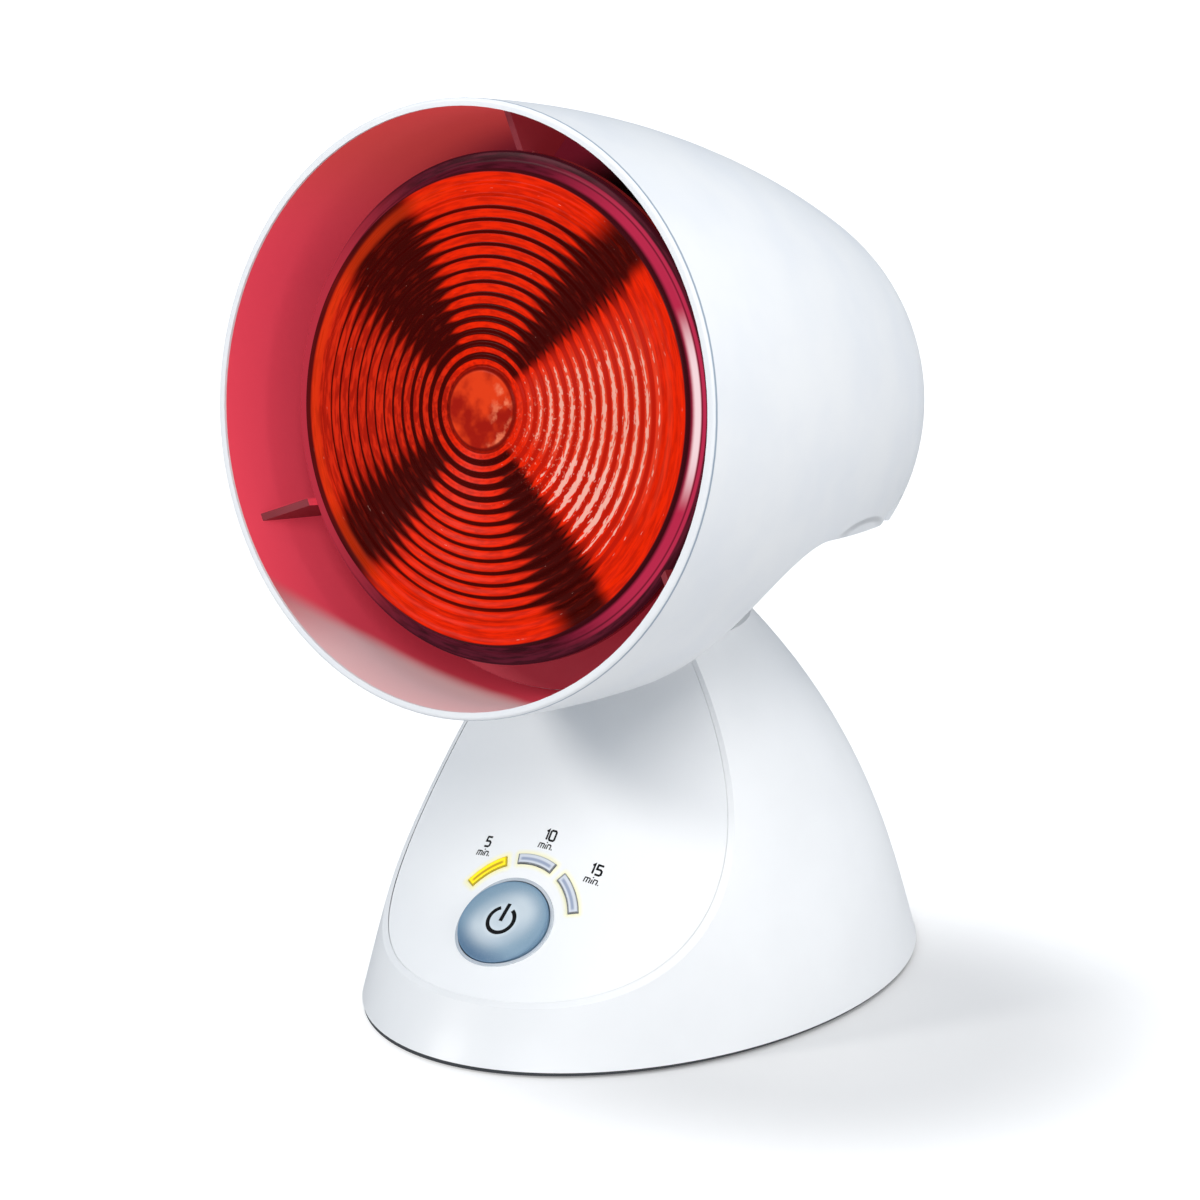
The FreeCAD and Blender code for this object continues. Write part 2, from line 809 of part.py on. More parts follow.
def make_base_plate():
    flange = ellipse_prism(
        "plate_flange_block", plate_half_x, plate_half_y,
        dim.plate_bottom, dim.plate_bottom + dim.plate_flange,
    )
    raised = ellipse_prism(
        "plate_raised_block", half_width_at(dim.plate_top) - dim.shell_wall - dim.plate_gap,
        half_depth_at(dim.plate_top) - dim.shell_wall - dim.plate_gap,
        dim.plate_bottom + dim.plate_flange, dim.plate_top,
    )
    stands = upright_rods("board_stands", stand_places, dim.post_radius, dim.plate_top, power_floor)
    solid = combine("MultiFuse", "plate_solid", flange, raised, stands)
    vents = new_body("plate_vent_slots")
    sketch = new_sketch(vents, "XY_Plane", "slots", -1)
    half = dim.vent_width / 2
    for number in range(int(dim.plate_vents.value)):
        place = dim.vent_pitch * (number - (int(dim.plate_vents.value) - 1) / 2) - dim.vent_behind
        outline(sketch, rectangle(-dim.vent_length / 2, place - half, dim.vent_length / 2, place + half))
    pad(vents, sketch, dim.plate_top + 2)
    sockets = upright_rods(
        "foot_sockets", foot_places, dim.foot_radius + dim.foot_gap, -1, dim.foot_height,
    )
    screws = upright_rods("plate_screw_holes", boss_places, dim.screw_radius + 0.2, -1, dim.plate_top + 1)
    heads = upright_rods(
        "plate_screw_heads", boss_places, dim.screw_head_radius + 0.2, -1,
        dim.plate_bottom + dim.screw_head_height,
    )
    pilots = upright_rods("stand_pilots", stand_places, dim.boss_pilot, dim.plate_top, power_floor + 1)
    plate = cut("base_plate_solid", solid, vents, sockets, screws, heads, pilots)
    finish(plate, "base_plate", BASE)
    feet = upright_rods("feet_rods", foot_places, dim.foot_radius, 0, dim.foot_height)
    finish(feet, "rubber_feet", BASE)
    low = dim.plate_bottom
    screws = upright_rods("base_screw_shanks", boss_places, dim.boss_pilot, low, dim.boss_top - 6)
    sketch = new_sketch(screws, "XY_Plane", "heads", low)
    for x, y in boss_places:
        ring(sketch, x, y, dim.screw_head_radius)
    pad(screws, sketch, dim.screw_head_height)
    finish(screws, "base_screws", BASE)


def make_power_board():
    half = dim.power_board_width / 2
    back = dim.power_board_back
    top = power_floor + dim.board_thickness
    board = box(
        "power_board_body",
        (-half, back - dim.power_board_depth / 2, power_floor),
        (half, back + dim.power_board_depth / 2, top),
    )
    holes = new_sketch(board, "XY_Plane", "holes", power_floor)
    for x, y in stand_places:
        ring(holes, x, y, dim.screw_radius + 0.1)
    cut_through(board, holes)
    finish(board, "power_board", BASE)
    screws = upright_rods("power_screw_shanks", stand_places, dim.boss_pilot - 0.02, power_floor - dim.screw_reach, top)
    sketch = new_sketch(screws, "XY_Plane", "heads", top)
    for x, y in stand_places:
        ring(sketch, x, y, dim.screw_head_radius)
    pad(screws, sketch, dim.screw_head_height)
    finish(screws, "power_board_screws", BASE)
    relay = box(
        "relay_body", (-dim.relay_side - dim.relay_width / 2, back - dim.relay_behind, top),
        (
            -dim.relay_side + dim.relay_width / 2, back - dim.relay_behind + dim.relay_depth,
            top + dim.relay_height,
        ),
    )
    finish(relay, "relay", BASE)
    capacitor = box(
        "capacitor_body", (-dim.capacitor_side, back - dim.capacitor_behind, top),
        (
            dim.capacitor_width - dim.capacitor_side,
            back - dim.capacitor_behind + dim.capacitor_depth, top + dim.capacitor_height,
        ),
    )
    finish(capacitor, "capacitor", BASE)
    rear = back + dim.power_board_depth / 2 - 3
    terminal = box(
        "terminal_body", (-dim.terminal_width / 2, rear - dim.terminal_depth, top),
        (dim.terminal_width / 2, rear, top + dim.terminal_height),
    )
    finish(terminal, "terminal_block", BASE)
    fuse = rod("fuse_body", "X", 0, dim.fuse_length, dim.fuse_radius)
    finish(fuse, "fuse", BASE.multiply(placed(2, back + 8, top + dim.fuse_radius)))


def make_cord_inlet():
    start = -dim.shell_wall - 0.5
    end = size(0.2)
    inlet = turned("cord_inlet_body", "Y", [
        (start - dim.inlet_flange_thickness, dim.inlet_bore),
        (end + dim.inlet_flange_thickness, dim.inlet_bore),
        (end + dim.inlet_flange_thickness, dim.inlet_radius + 0.6),
        (end, dim.inlet_flange),
        (end, dim.inlet_radius),
        (start, dim.inlet_radius),
        (start, dim.inlet_flange),
        (start - dim.inlet_flange_thickness, dim.inlet_flange),
    ])
    finish(inlet, "cord_inlet", BASE.multiply(INLET))


# ---------------------------------------------------------------- neck and hinge

def make_neck_knuckle():
    low = dim.shell_top + dim.neck_gap
    form = combine(
        "MultiCommon", "neck_form", dome("neck_outside"), face_ring("neck_face", 0),
        slab("neck_height", low, dim.neck_cap_top),
    )
    ball = doc.addObject("Part::Sphere", "neck_ball")
    bind(ball, Radius=dim.neck_crown)
    ball.Placement = placed(0, dim.pivot_back, dim.neck_cap_top - dim.neck_crown)
    cap = combine("MultiCommon", "neck_cap", form, ball)
    barrel = rod(
        "knuckle_barrel", "X", -dim.knuckle_half_width, dim.knuckle_half_width, dim.knuckle_radius,
    )
    barrel.Placement = placed(0, dim.pivot_back, dim.pivot_height)
    web = box(
        "knuckle_web",
        (-dim.knuckle_half_width, dim.pivot_back - dim.knuckle_radius + 1, low + 2),
        (dim.knuckle_half_width, dim.pivot_back + dim.knuckle_radius - 1, dim.pivot_height),
    )
    solid = combine("MultiFuse", "knuckle_solid", cap, barrel, web)
    bore = rod("knuckle_bore", "X", -30, 30, dim.bush_radius + dim.bush_gap)
    bore.Placement = placed(0, dim.pivot_back, dim.pivot_height)
    slot = box(
        "knuckle_cable_slot", (-dim.knuckle_slot, dim.pivot_back - 30, dim.neck_cap_top),
        (dim.knuckle_slot, dim.pivot_back + 30, dim.pivot_height + 30),
    )
    hole = rod("knuckle_cable_hole", "Z", low - 1, dim.neck_cap_top + 2, dim.knuckle_slot)
    hole.Placement = placed(0, dim.pivot_back, 0)
    pilots = upright_rods("knuckle_pilots", knuckle_screws, dim.boss_pilot, low - 1, low + 8)
    finish(cut("neck_knuckle_solid", solid, bore, slot, hole, pilots), "neck_knuckle", BASE)
    under = dim.shell_top - dim.shell_wall
    screws = upright_rods("knuckle_screw_shanks", knuckle_screws, dim.boss_pilot - 0.02, under, low + 7)
    sketch = new_sketch(screws, "XY_Plane", "heads", under)
    for x, y in knuckle_screws:
        ring(sketch, x, y, dim.screw_head_radius)
    pad(screws, sketch, dim.screw_head_height, backwards=True)
    finish(screws, "knuckle_screws", BASE)


def make_hinge():
    start = dim.knuckle_half_width - dim.bush_length
    for side, word in ((1, "right"), (-1, "left")):
        bush = tube(
            "bush_" + word, "X", side * start, side * dim.knuckle_half_width,
            dim.bush_radius, dim.axle_radius + dim.axle_gap,
        )
        finish(bush, "axle_bush_" + word, HINGE)
        near = dim.knuckle_half_width + dim.hinge_gap / 2
        washer = tube(
            "washer_" + word, "X", side * near, side * (near + dim.washer_thickness),
            dim.washer_radius, dim.axle_radius + dim.axle_gap,
        )
        finish(washer, "friction_washer_" + word, HEAD)
    head = dim.axle_half_length
    axle = turned("axle_body", "X", [
        (-head, 0), (head, 0), (head, dim.axle_radius), (-head + 1.4, dim.axle_radius),
        (-head + 1.4, dim.axle_radius + 1.8), (-head, dim.axle_radius + 1.8),
    ])
    finish(axle, "hinge_axle", HEAD)
    clip = tube(
        "clip_body", "X", ear_out + 0.1, ear_out + 0.1 + dim.clip_thickness,
        dim.clip_radius, dim.axle_radius + dim.bush_gap,
    )
    finish(clip, "axle_clip", HEAD)
    for side, word in ((1, "right"), (-1, "left")):
        near = ear_out
        far = near + dim.hinge_cap_length
        wall = dim.hinge_cap_wall
        cap = turned("hinge_cap_body_" + word, "X", [
            (side * near, dim.hinge_cap_radius - wall), (side * near, dim.hinge_cap_radius),
            (side * (far - 1.5), dim.hinge_cap_radius), (side * far, dim.hinge_cap_radius - 1.5),
            (side * far, 0), (side * (far - wall), 0),
            (side * (far - wall), dim.hinge_cap_radius - wall),
        ])
        finish(cap, "hinge_cap_" + word, HEAD)


ear_in = dim.knuckle_half_width + dim.hinge_gap + dim.washer_thickness
ear_out = ear_in + dim.ear_thickness
ceiling = dim.axis_above_pivot - dim.cut_below_axis + dim.cover_inset + dim.cover_thickness


def make_tilt_bracket():
    """A pressed steel yoke: a top plate on the cover and two ears down to the axle."""
    half_length = dim.cover_window_half_length + 6
    plate = box(
        "yoke_plate", (-ear_out - 10, -half_length, ceiling),
        (ear_out + 10, half_length, ceiling + dim.bracket_thickness),
    )
    pieces = [plate]
    for side, word in ((1, "right"), (-1, "left")):
        ear = new_body("yoke_ear_" + word)
        sketch = new_sketch(ear, "YZ_Plane", "ear", side * (ear_in + dim.ear_thickness / 2))
        outline(sketch, [
            (-dim.ear_radius, 0, dim.ear_radius, (0, 0)), (0, -dim.ear_radius, dim.ear_radius, (0, 0)),
            (dim.ear_radius, 0), (dim.ear_radius, ceiling + 0.5), (-dim.ear_radius, ceiling + 0.5),
        ])
        pad(ear, sketch, dim.ear_thickness, both_ways=True)
        pieces.append(ear)
    solid = combine("MultiFuse", "yoke_solid", *pieces)
    bore_end = dim.axle_half_length * 2
    bore = rod("yoke_bore", "X", -bore_end, bore_end, dim.axle_radius + dim.bush_gap)
    window_cut = box(
        "yoke_cable_window", (-dim.knuckle_slot - 2, -8, ceiling - 1),
        (dim.knuckle_slot + 2, 8, ceiling + dim.bracket_thickness + 1),
    )
    holes = upright_rods("yoke_holes", yoke_screws, dim.screw_radius + 0.1, ceiling - 1, ceiling + 4)
    finish(cut("tilt_bracket_solid", solid, bore, window_cut, holes), "tilt_bracket", HEAD)


yoke_screws = four_places(ear_out + 6.5, dim.cover_window_half_length + 2.5)


# ---------------------------------------------------------------- head

side_radius = (
    (dim.head_length - dim.tail_radius) ** 2 + dim.rim_radius ** 2 - dim.tail_radius ** 2
) / (2 * (dim.rim_radius - dim.tail_radius))
side_middle = dim.rim_radius - side_radius
tail_middle = dim.head_length - dim.tail_radius
reach = side_radius - dim.tail_radius
tangent_along = tail_middle / reach
tangent_across = -side_middle / reach


def shell_radius(behind_rim, inward):
    """Radius of the bell at a place behind the rim, set in by inward."""
    side = side_radius - inward
    return side_middle + root(side * side - size(behind_rim) * behind_rim)


def bell_corners(inward, start):
    """The bell's side and tail as two tangent arcs, from a start behind the rim to the axis."""
    side = side_radius - inward
    tail = dim.tail_radius - inward
    return [
        (start, shell_radius(start, inward), side, (0, side_middle)),
        (tail_middle + tail * tangent_along, tail * tangent_across, tail, (tail_middle, 0)),
        (tail_middle + tail, 0),
    ]


def cut_corner_path(inset, far):
    """The stepped line of the cut-out under the head, moved into the head by inset."""
    front = dim.cut_behind_rim - inset
    top = -dim.cut_below_axis + inset
    radius = dim.cut_corner + inset
    middle = (front + radius, top - radius)
    return [
        (front, -far), (front, middle[1], radius, middle), (middle[0], top), (far * 2, top),
    ]


strap_screws = [
    (side * dim.bracket_half_width * 0.6, dim.holder_front + dim.holder_length * share)
    for side in (1, -1) for share in (0.25, 0.75)
]


def make_shade():
    round_middle = (dim.rim_round, dim.rim_radius - dim.rim_round)
    outer = bell_corners(0, dim.rim_round)
    inner = bell_corners(dim.head_wall, 0)
    corners = [(0, dim.rim_radius - dim.rim_round, dim.rim_round, round_middle)] + outer
    back = inner[::-1]
    corners += [
        (back[0][0], 0, dim.tail_radius - dim.head_wall, (tail_middle, 0)),
        (back[1][0], back[1][1], side_radius - dim.head_wall, (0, side_middle)),
        (back[2][0], back[2][1]),
    ]
    shade = turned("shade_body", "Y", corners)
    rib_sketch = new_sketch(shade, "YZ_Plane", "rib")
    tip = dim.flange_radius + dim.rib_gap
    behind = dim.flange_front + dim.flange_half_thickness * 2 + dim.rib_gap
    deep = dim.head_wall / 2
    outline(rib_sketch, [
        (dim.rib_front, shell_radius(dim.rib_front, deep)), (dim.rib_tip_front, tip), (behind, tip),
        (behind, tip - dim.rib_ledge), (dim.rib_tip_back, tip - dim.rib_ledge),
        (dim.rib_back, shell_radius(dim.rib_back, deep)),
    ])
    rib = pad(shade, rib_sketch, dim.rib_thickness, both_ways=True)
    doc.recompute()
    pattern = shade.newObject("PartDesign::PolarPattern", "ribs_around")
    pattern.Originals = [rib]
    pattern.Axis = (rib_sketch, ["H_Axis"])
    pattern.Angle = 360
    bind(pattern, Occurrences=dim.rib_count)
    shade.Tip = pattern
    boss_sketch = new_sketch(shade, "XY_Plane", "bosses", boss_foot)
    for x, y in head_bosses:
        ring(boss_sketch, x, y, dim.boss_radius)
    pad(shade, boss_sketch, dim.head_boss_length)
    web_sketch = new_sketch(shade, "XY_Plane", "boss_webs", boss_foot)
    for x, y in head_bosses:
        outward = 1 if x.value > 0 else -1
        near = x + outward * dim.boss_pilot * 2
        far_end = x + outward * (dim.boss_radius + dim.head_boss_clear + dim.head_wall * 0.8)
        half = dim.boss_radius / 3
        outline(web_sketch, rectangle(near, y - half, far_end, y + half))
    pad(shade, web_sketch, dim.head_boss_length)
    cut_sketch = new_sketch(shade, "YZ_Plane", "cut_out")
    far = dim.rim_radius * 1.6
    outline(cut_sketch, cut_corner_path(size(0), far) + [(far * 2, -far)])
    cut_through(shade, cut_sketch)
    pilots = new_sketch(shade, "XY_Plane", "pilot_holes", boss_foot)
    for x, y in head_bosses:
        ring(pilots, x, y, dim.boss_pilot)
    pilot = feature(shade, "Pocket", pilots, "pilots", Length=dim.head_boss_length - 2)
    pilot.Reversed = True
    finish(cut("shade_solid", shade, *make_grip_scoops()), "shade", LAMP)


def make_grip_scoops():
    """Two shallow hollows above the shade's rear lower edge, for the fingers that tilt it."""
    scoops = []
    for side in (1, -1):
        scoop = doc.addObject("Part::Ellipsoid", "grip_scoop")
        bind(scoop, Radius1=dim.scoop_height, Radius2=dim.scoop_length, Radius3=dim.scoop_depth)
        scoop.Angle1, scoop.Angle2, scoop.Angle3 = -90, 90, 360
        place = shell_radius(dim.scoop_place, 0)
        across = root(place * place - dim.cut_below_axis * dim.cut_below_axis)
        out = across + dim.scoop_depth - dim.scoop_sink
        turn = FreeCAD.Rotation(FreeCAD.Vector(0, 0, 1), -side * dim.scoop_turn.value)
        flat = FreeCAD.Rotation(FreeCAD.Vector(0, 0, 1), 90)
        scoop.Placement = FreeCAD.Placement(
            vector(side * out, dim.scoop_place, -dim.cut_below_axis), turn.multiply(flat))
        scoops.append(scoop)
    return scoops


boss_foot = -dim.cut_below_axis + dim.cover_inset + dim.cover_thickness
head_bosses = []
for boss_along in (dim.head_boss_first, dim.head_boss_second):
    boss_reach = shell_radius(boss_along, dim.head_wall)
    across = root(boss_reach * boss_reach - boss_foot * boss_foot) - dim.boss_radius
    for side in (1, -1):
        head_bosses.append((side * (across - dim.head_boss_clear), boss_along))


def make_underside_cover():
    """The moulded tray that closes the cut-out, a little inside the shade's edge."""
    far = dim.rim_radius * 1.1
    outside = cut_corner_path(dim.cover_inset, far)
    inside = cut_corner_path(dim.cover_inset + dim.cover_thickness, far)
    band = outside + [inside[3], (inside[2][0], inside[2][1], inside[1][2], inside[1][3]),
                      (inside[1][0], inside[1][1]), inside[0]]
    tray = new_body("cover_band")
    sketch = new_sketch(tray, "YZ_Plane", "band")
    outline(sketch, band)
    pad(tray, sketch, dim.rim_radius * 2, both_ways=True)
    limit_corners = bell_corners(dim.head_wall + dim.cover_gap, 1) + [(1, 0)]
    limit = turned("cover_limit", "Y", limit_corners)
    form = combine("MultiCommon", "cover_form", tray, limit)
    pivot = dim.rim_before_pivot
    half = dim.cover_window_half_width
    length = dim.cover_window_half_length
    tools = [box("cover_window", (-half, pivot - length, boss_foot - 5), (half, pivot + length, 0))]
    slots = new_body("cover_vent_slots")
    sketch = new_sketch(slots, "XY_Plane", "slots", boss_foot - 5)
    for number in range(int(dim.cover_vents.value)):
        near = dim.cover_vent_first + dim.cover_vent_pitch * number
        for x in (near, -near - dim.vent_width):
            low = dim.cut_behind_rim + dim.cut_corner + 8
            outline(sketch, rectangle(x, low, x + dim.vent_width, low + dim.vent_length))
    pad(slots, sketch, 8)
    tools.append(slots)
    tools.append(upright_rods(
        "cover_strap_holes", strap_screws, dim.boss_pilot + 0.05, boss_foot - 5, boss_foot + 1))
    tools.append(upright_rods(
        "cover_screw_holes", head_bosses, dim.screw_radius + 0.2, boss_foot - 5, boss_foot + 1))
    yoke = [(x, y + pivot) for x, y in yoke_screws]
    tools.append(upright_rods(
        "cover_yoke_holes", yoke, dim.boss_pilot + 0.05, boss_foot - 5, boss_foot + 1))
    finish(cut("underside_cover_solid", form, *tools), "underside_cover", LAMP)
    low = boss_foot - dim.cover_thickness
    screws = upright_rods("cover_screw_shanks", head_bosses, dim.boss_pilot - 0.02, low, boss_foot + 9)
    sketch = new_sketch(screws, "XY_Plane", "heads", low)
    for x, y in head_bosses:
        ring(sketch, x, y, dim.screw_head_radius)
    pad(screws, sketch, dim.screw_head_height, backwards=True)
    finish(screws, "cover_screws", LAMP)
    top = boss_foot + dim.bracket_thickness
    screws = upright_rods("yoke_screw_shanks", yoke, dim.boss_pilot, low, top)
    sketch = new_sketch(screws, "XY_Plane", "heads", top)
    for x, y in yoke:
        ring(sketch, x, y, dim.screw_head_radius)
    pad(screws, sketch, dim.screw_head_height)
    finish(screws, "bracket_screws", LAMP)


# ---------------------------------------------------------------- lamp

def make_lens():
    """Pressed glass: a bull's eye in a stack of ring prisms, and a plain flange."""
    apex = dim.lens_edge - dim.lens_rise
    curve = (dim.lens_radius * dim.lens_radius / dim.lens_rise + dim.lens_rise) / 2
    back_edge = dim.flange_front + dim.flange_half_thickness
    hollow = dim.lens_radius - dim.bulb_glass

    def front(radius):
        return apex + curve - root(curve * curve - size(radius) * radius)

    corners = [(apex, 0, curve, (apex + curve, 0)), (front(dim.bull_eye_radius), dim.bull_eye_radius)]
    count = int(dim.lens_rings.value)
    pitch = (dim.lens_radius - dim.bull_eye_radius) / count
    for number in range(count):
        low = dim.bull_eye_radius + pitch * number
        corners.append((front(low) + dim.ring_depth, low + pitch * dim.ring_step))
        corners.append((front(low + pitch), low + pitch))
    corners += [
        (dim.flange_front, dim.lens_radius + 2.5),
        (dim.flange_front, dim.flange_radius),
        (back_edge, dim.flange_radius),
        (back_edge, hollow),
        (front(hollow) + dim.lens_glass, hollow, curve, (apex + dim.lens_glass + curve, 0)),
        (apex + dim.lens_glass, 0),
    ]
    lens = turned("lens_body", "Y", corners)
    finish(lens, "lamp_lens", LAMP)


def make_bulb():
    """The blown reflector: a flange, a deep bowl, a throat and a neck."""
    start = dim.flange_front + dim.flange_half_thickness
    flange_back = start + dim.flange_half_thickness
    glass = dim.bulb_glass
    neck = dim.lamp_neck_radius
    shoulder = flange_back + dim.bowl_shoulder_place
    throat = flange_back + dim.throat_place
    outer = [
        (start, dim.flange_radius), (flange_back, dim.flange_radius), (flange_back, dim.bowl_mouth),
        (shoulder, dim.bowl_shoulder), (throat, dim.throat_radius),
        (dim.neck_start, neck + dim.neck_taper), (dim.lamp_neck_end, neck),
    ]
    inner = [
        (dim.lamp_neck_end, neck - glass), (dim.neck_start, neck + dim.neck_taper - glass),
        (throat, dim.throat_radius - glass), (shoulder, dim.bowl_shoulder - glass * 1.4),
        (start, dim.bowl_mouth - glass),
    ]
    finish(turned("bulb_body", "Y", outer + inner), "lamp_bulb", LAMP)
    cap_start = dim.lamp_neck_end - 4
    cap_end = cap_start + 4 + dim.lamp_cap_length
    grip = dim.lamp_neck_radius + 0.2
    cap = turned("lamp_cap_body", "Y", [
        (cap_start, grip), (cap_start, grip + 0.6), (dim.lamp_neck_end + 0.8, grip + 0.6),
        (dim.lamp_neck_end + 2.6, dim.lamp_cap_radius), (cap_end - 2.5, dim.lamp_cap_radius),
        (cap_end, dim.lamp_cap_radius - 4), (cap_end, dim.lamp_contact_radius + 0.05),
        (cap_end - 0.6, dim.lamp_contact_radius + 0.05), (cap_end - 3.2, dim.lamp_cap_radius - 0.8),
        (dim.lamp_neck_end + 2.8, dim.lamp_cap_radius - 0.8), (dim.lamp_neck_end + 0.2, grip),
    ])
    finish(cap, "lamp_screw_cap", LAMP)
    contact = turned("lamp_contact_body", "Y", [
        (cap_end - 0.6, 0), (cap_end + dim.lamp_contact_length - 1, 0),
        (cap_end + dim.lamp_contact_length - 1, dim.lamp_contact_radius - 2),
        (cap_end, dim.lamp_contact_radius), (cap_end - 0.6, dim.lamp_contact_radius),
    ])
    finish(contact, "lamp_contact", LAMP)


def make_filament():
    """A glass stem, with a bar across its tip and two wires that hold the glowing coil as a ring."""
    place = dim.filament_place
    stem_top = place + dim.support_length
    stem = turned("stem_body", "Y", [
        (stem_top, 0), (dim.stem_foot, 0),
        (dim.stem_foot, dim.lamp_neck_radius - dim.bulb_glass + dim.stem_seal),
        (dim.stem_foot - dim.stem_flare, dim.stem_waist), (stem_top, dim.stem_tip),
    ])
    finish(stem, "glass_stem", LAMP)
    ring_radius = dim.filament_radius
    wire = dim.filament_wire
    coil = tube("filament_ring", "Y", place - wire, place + wire, ring_radius + wire, ring_radius - wire)
    bar_radius = dim.support_radius * 1.4
    reach = stem_top - bar_radius - dim.stem_seal
    bar_end = ring_radius + bar_radius
    bar = rod("filament_bar", "X", 0 - bar_end, bar_end, bar_radius)
    bar.Placement = placed(0, reach, 0)
    pieces = [coil, bar]
    for side in (1, -1):
        lead = rod("filament_lead", "Y", place, reach, dim.support_radius)
        lead.Placement = placed(side * ring_radius, 0, 0)
        pieces.append(lead)
    finish(combine("MultiFuse", "filament_solid", *pieces), "filament", LAMP)


def make_lampholder():
    start = dim.holder_front
    end = start + dim.holder_length
    liner = dim.lamp_cap_radius + dim.holder_gap + dim.holder_shell
    mouth = dim.lamp_cap_radius + 5.2
    holder = turned("holder_body", "Y", [
        (start, mouth), (start, dim.holder_radius - 1), (start + 2, dim.holder_radius),
        (end - 3, dim.holder_radius), (end, dim.holder_radius - 3), (end, 0),
        (end - 7, 0), (end - 7, liner + 0.1), (start + 3.6, liner + 0.1), (start + 3.6, mouth),
    ])
    finish(holder, "lampholder", LAMP)
    shell = tube(
        "holder_liner", "Y", start + 3.8, end - 7.2, liner, dim.lamp_cap_radius + dim.holder_gap,
    )
    finish(shell, "lampholder_thread_shell", LAMP)
    contact_top = dim.lamp_neck_end + dim.lamp_cap_length + dim.lamp_contact_length - 1
    contact = turned("holder_contact_body", "Y", [
        (contact_top + 0.1, 0), (end - 7, 0), (end - 7, 6), (end - 8, 6), (contact_top + 0.9, 3),
        (contact_top + 0.1, 3),
    ])
    finish(contact, "lampholder_contact", LAMP)
    make_socket_bracket(end)


def make_socket_bracket(holder_end):
    """A bent steel strap that stands on the cover and carries the lampholder's back."""
    thick = dim.bracket_thickness
    strap = new_body("strap_body")
    sketch = new_sketch(strap, "YZ_Plane", "strap")
    foot_start = dim.rim_before_pivot + dim.cover_window_half_length + 6.5
    foot = boss_foot
    outline(sketch, [
        (foot_start, foot), (holder_end + thick, foot), (holder_end + thick, dim.holder_radius - 4),
        (holder_end, dim.holder_radius - 4), (holder_end, foot + thick), (foot_start, foot + thick),
    ])
    pad(strap, sketch, dim.bracket_half_width * 2, both_ways=True)
    foot_holes = new_sketch(strap, "XY_Plane", "foot_holes", foot)
    for x, y in strap_screws:
        ring(foot_holes, x, y, dim.boss_pilot + 0.05)
    cut_through(strap, foot_holes)
    holes = new_sketch(strap, "XZ_Plane", "holder_holes", -holder_end)
    for side in (1, -1):
        ring(holes, side * dim.holder_screw_spacing / 2, 0, dim.screw_radius + 0.1)
    cut_through(strap, holes)
    finish(strap, "socket_bracket", LAMP)
    under = foot - dim.cover_thickness
    foot_screws = upright_rods("strap_screw_shanks", strap_screws, dim.boss_pilot, under, foot + thick)
    heads = new_sketch(foot_screws, "XY_Plane", "heads", under)
    for x, y in strap_screws:
        ring(heads, x, y, dim.screw_head_radius)
    pad(foot_screws, heads, dim.screw_head_height, backwards=True)
    finish(foot_screws, "strap_screws", LAMP)
    screws = new_body("holder_screw_heads")
    sketch = new_sketch(screws, "XZ_Plane", "heads", -holder_end - thick)
    for side in (1, -1):
        ring(sketch, side * dim.holder_screw_spacing / 2, 0, dim.screw_head_radius)
    pad(screws, sketch, dim.screw_head_height, backwards=True)
    sketch = new_sketch(screws, "XZ_Plane", "shanks", -holder_end - thick)
    for side in (1, -1):
        ring(sketch, side * dim.holder_screw_spacing / 2, 0, dim.screw_radius)
    pad(screws, sketch, thick)
    finish(screws, "holder_screws", LAMP)


make_base_shell()
make_control_panel()
make_button()
make_windows()
make_timer_board()
make_base_plate()
make_power_board()
make_cord_inlet()
make_neck_knuckle()
make_hinge()
make_tilt_bracket()
make_shade()
make_underside_cover()
make_lens()
make_bulb()
make_filament()
make_lampholder()
doc.recompute()

for thing in doc.Objects:
    if "Invalid" in thing.State or "Error" in thing.State:
        raise RuntimeError("%s failed: %s" % (thing.Name, thing.State))

os.makedirs("parts", exist_ok=True)
for thing in finished:
    shape = thing.Shape
    if shape.isNull() or not shape.isValid() or not shape.Solids:
        raise RuntimeError("%s has no valid solid" % thing.Label)
    shape.exportStep("parts/%s.step" % thing.Label)
    print("%-26s %2d solids %10.1f mm3" % (thing.Label, len(shape.Solids), shape.Volume))
print(len(finished), "sub-parts")
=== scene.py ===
# %% [markdown]
# # A tilting heat lamp, dressed in its finishes
#
# The lamp arrives as a frame of solid parts that already have their true sizes and joints.
# This lesson gives each part its finish, swaps the front glass for a finely ringed one,
# prints the small marks on the control face, and sets up the light and the camera. Blender
# works in metres here. Sizes that a maker would measure are given in millimetres.

# %% Load the frame of solid parts
import math

import bmesh
import bpy
from mathutils import Matrix, Vector


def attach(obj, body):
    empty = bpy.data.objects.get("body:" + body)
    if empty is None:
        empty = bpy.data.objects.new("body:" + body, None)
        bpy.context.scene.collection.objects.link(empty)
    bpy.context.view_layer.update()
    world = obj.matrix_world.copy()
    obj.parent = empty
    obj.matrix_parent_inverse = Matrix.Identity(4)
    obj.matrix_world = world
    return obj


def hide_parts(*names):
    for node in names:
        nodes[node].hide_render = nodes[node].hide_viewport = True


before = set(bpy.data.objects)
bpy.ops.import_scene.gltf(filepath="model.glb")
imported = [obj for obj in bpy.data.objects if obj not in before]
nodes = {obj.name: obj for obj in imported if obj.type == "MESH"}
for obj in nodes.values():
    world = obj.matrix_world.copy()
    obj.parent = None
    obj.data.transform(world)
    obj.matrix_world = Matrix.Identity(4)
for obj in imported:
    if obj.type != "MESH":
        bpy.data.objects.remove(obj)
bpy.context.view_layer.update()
MM = 0.001

# %% [markdown]
# ## Two working frames
#
# Most of the looks follow one of two local frames. The lamp frame has its Y axis along the
# lamp's own axis, starting at the rim, so a radius and a depth describe any point of the
# shade or the glass. The face frame lies on the hollow control face under the button, with
# Z out of the face and Y up its slope. Both are plain matrices, which is the easiest way to
# draw something in its own flat terms and then put it where it belongs.

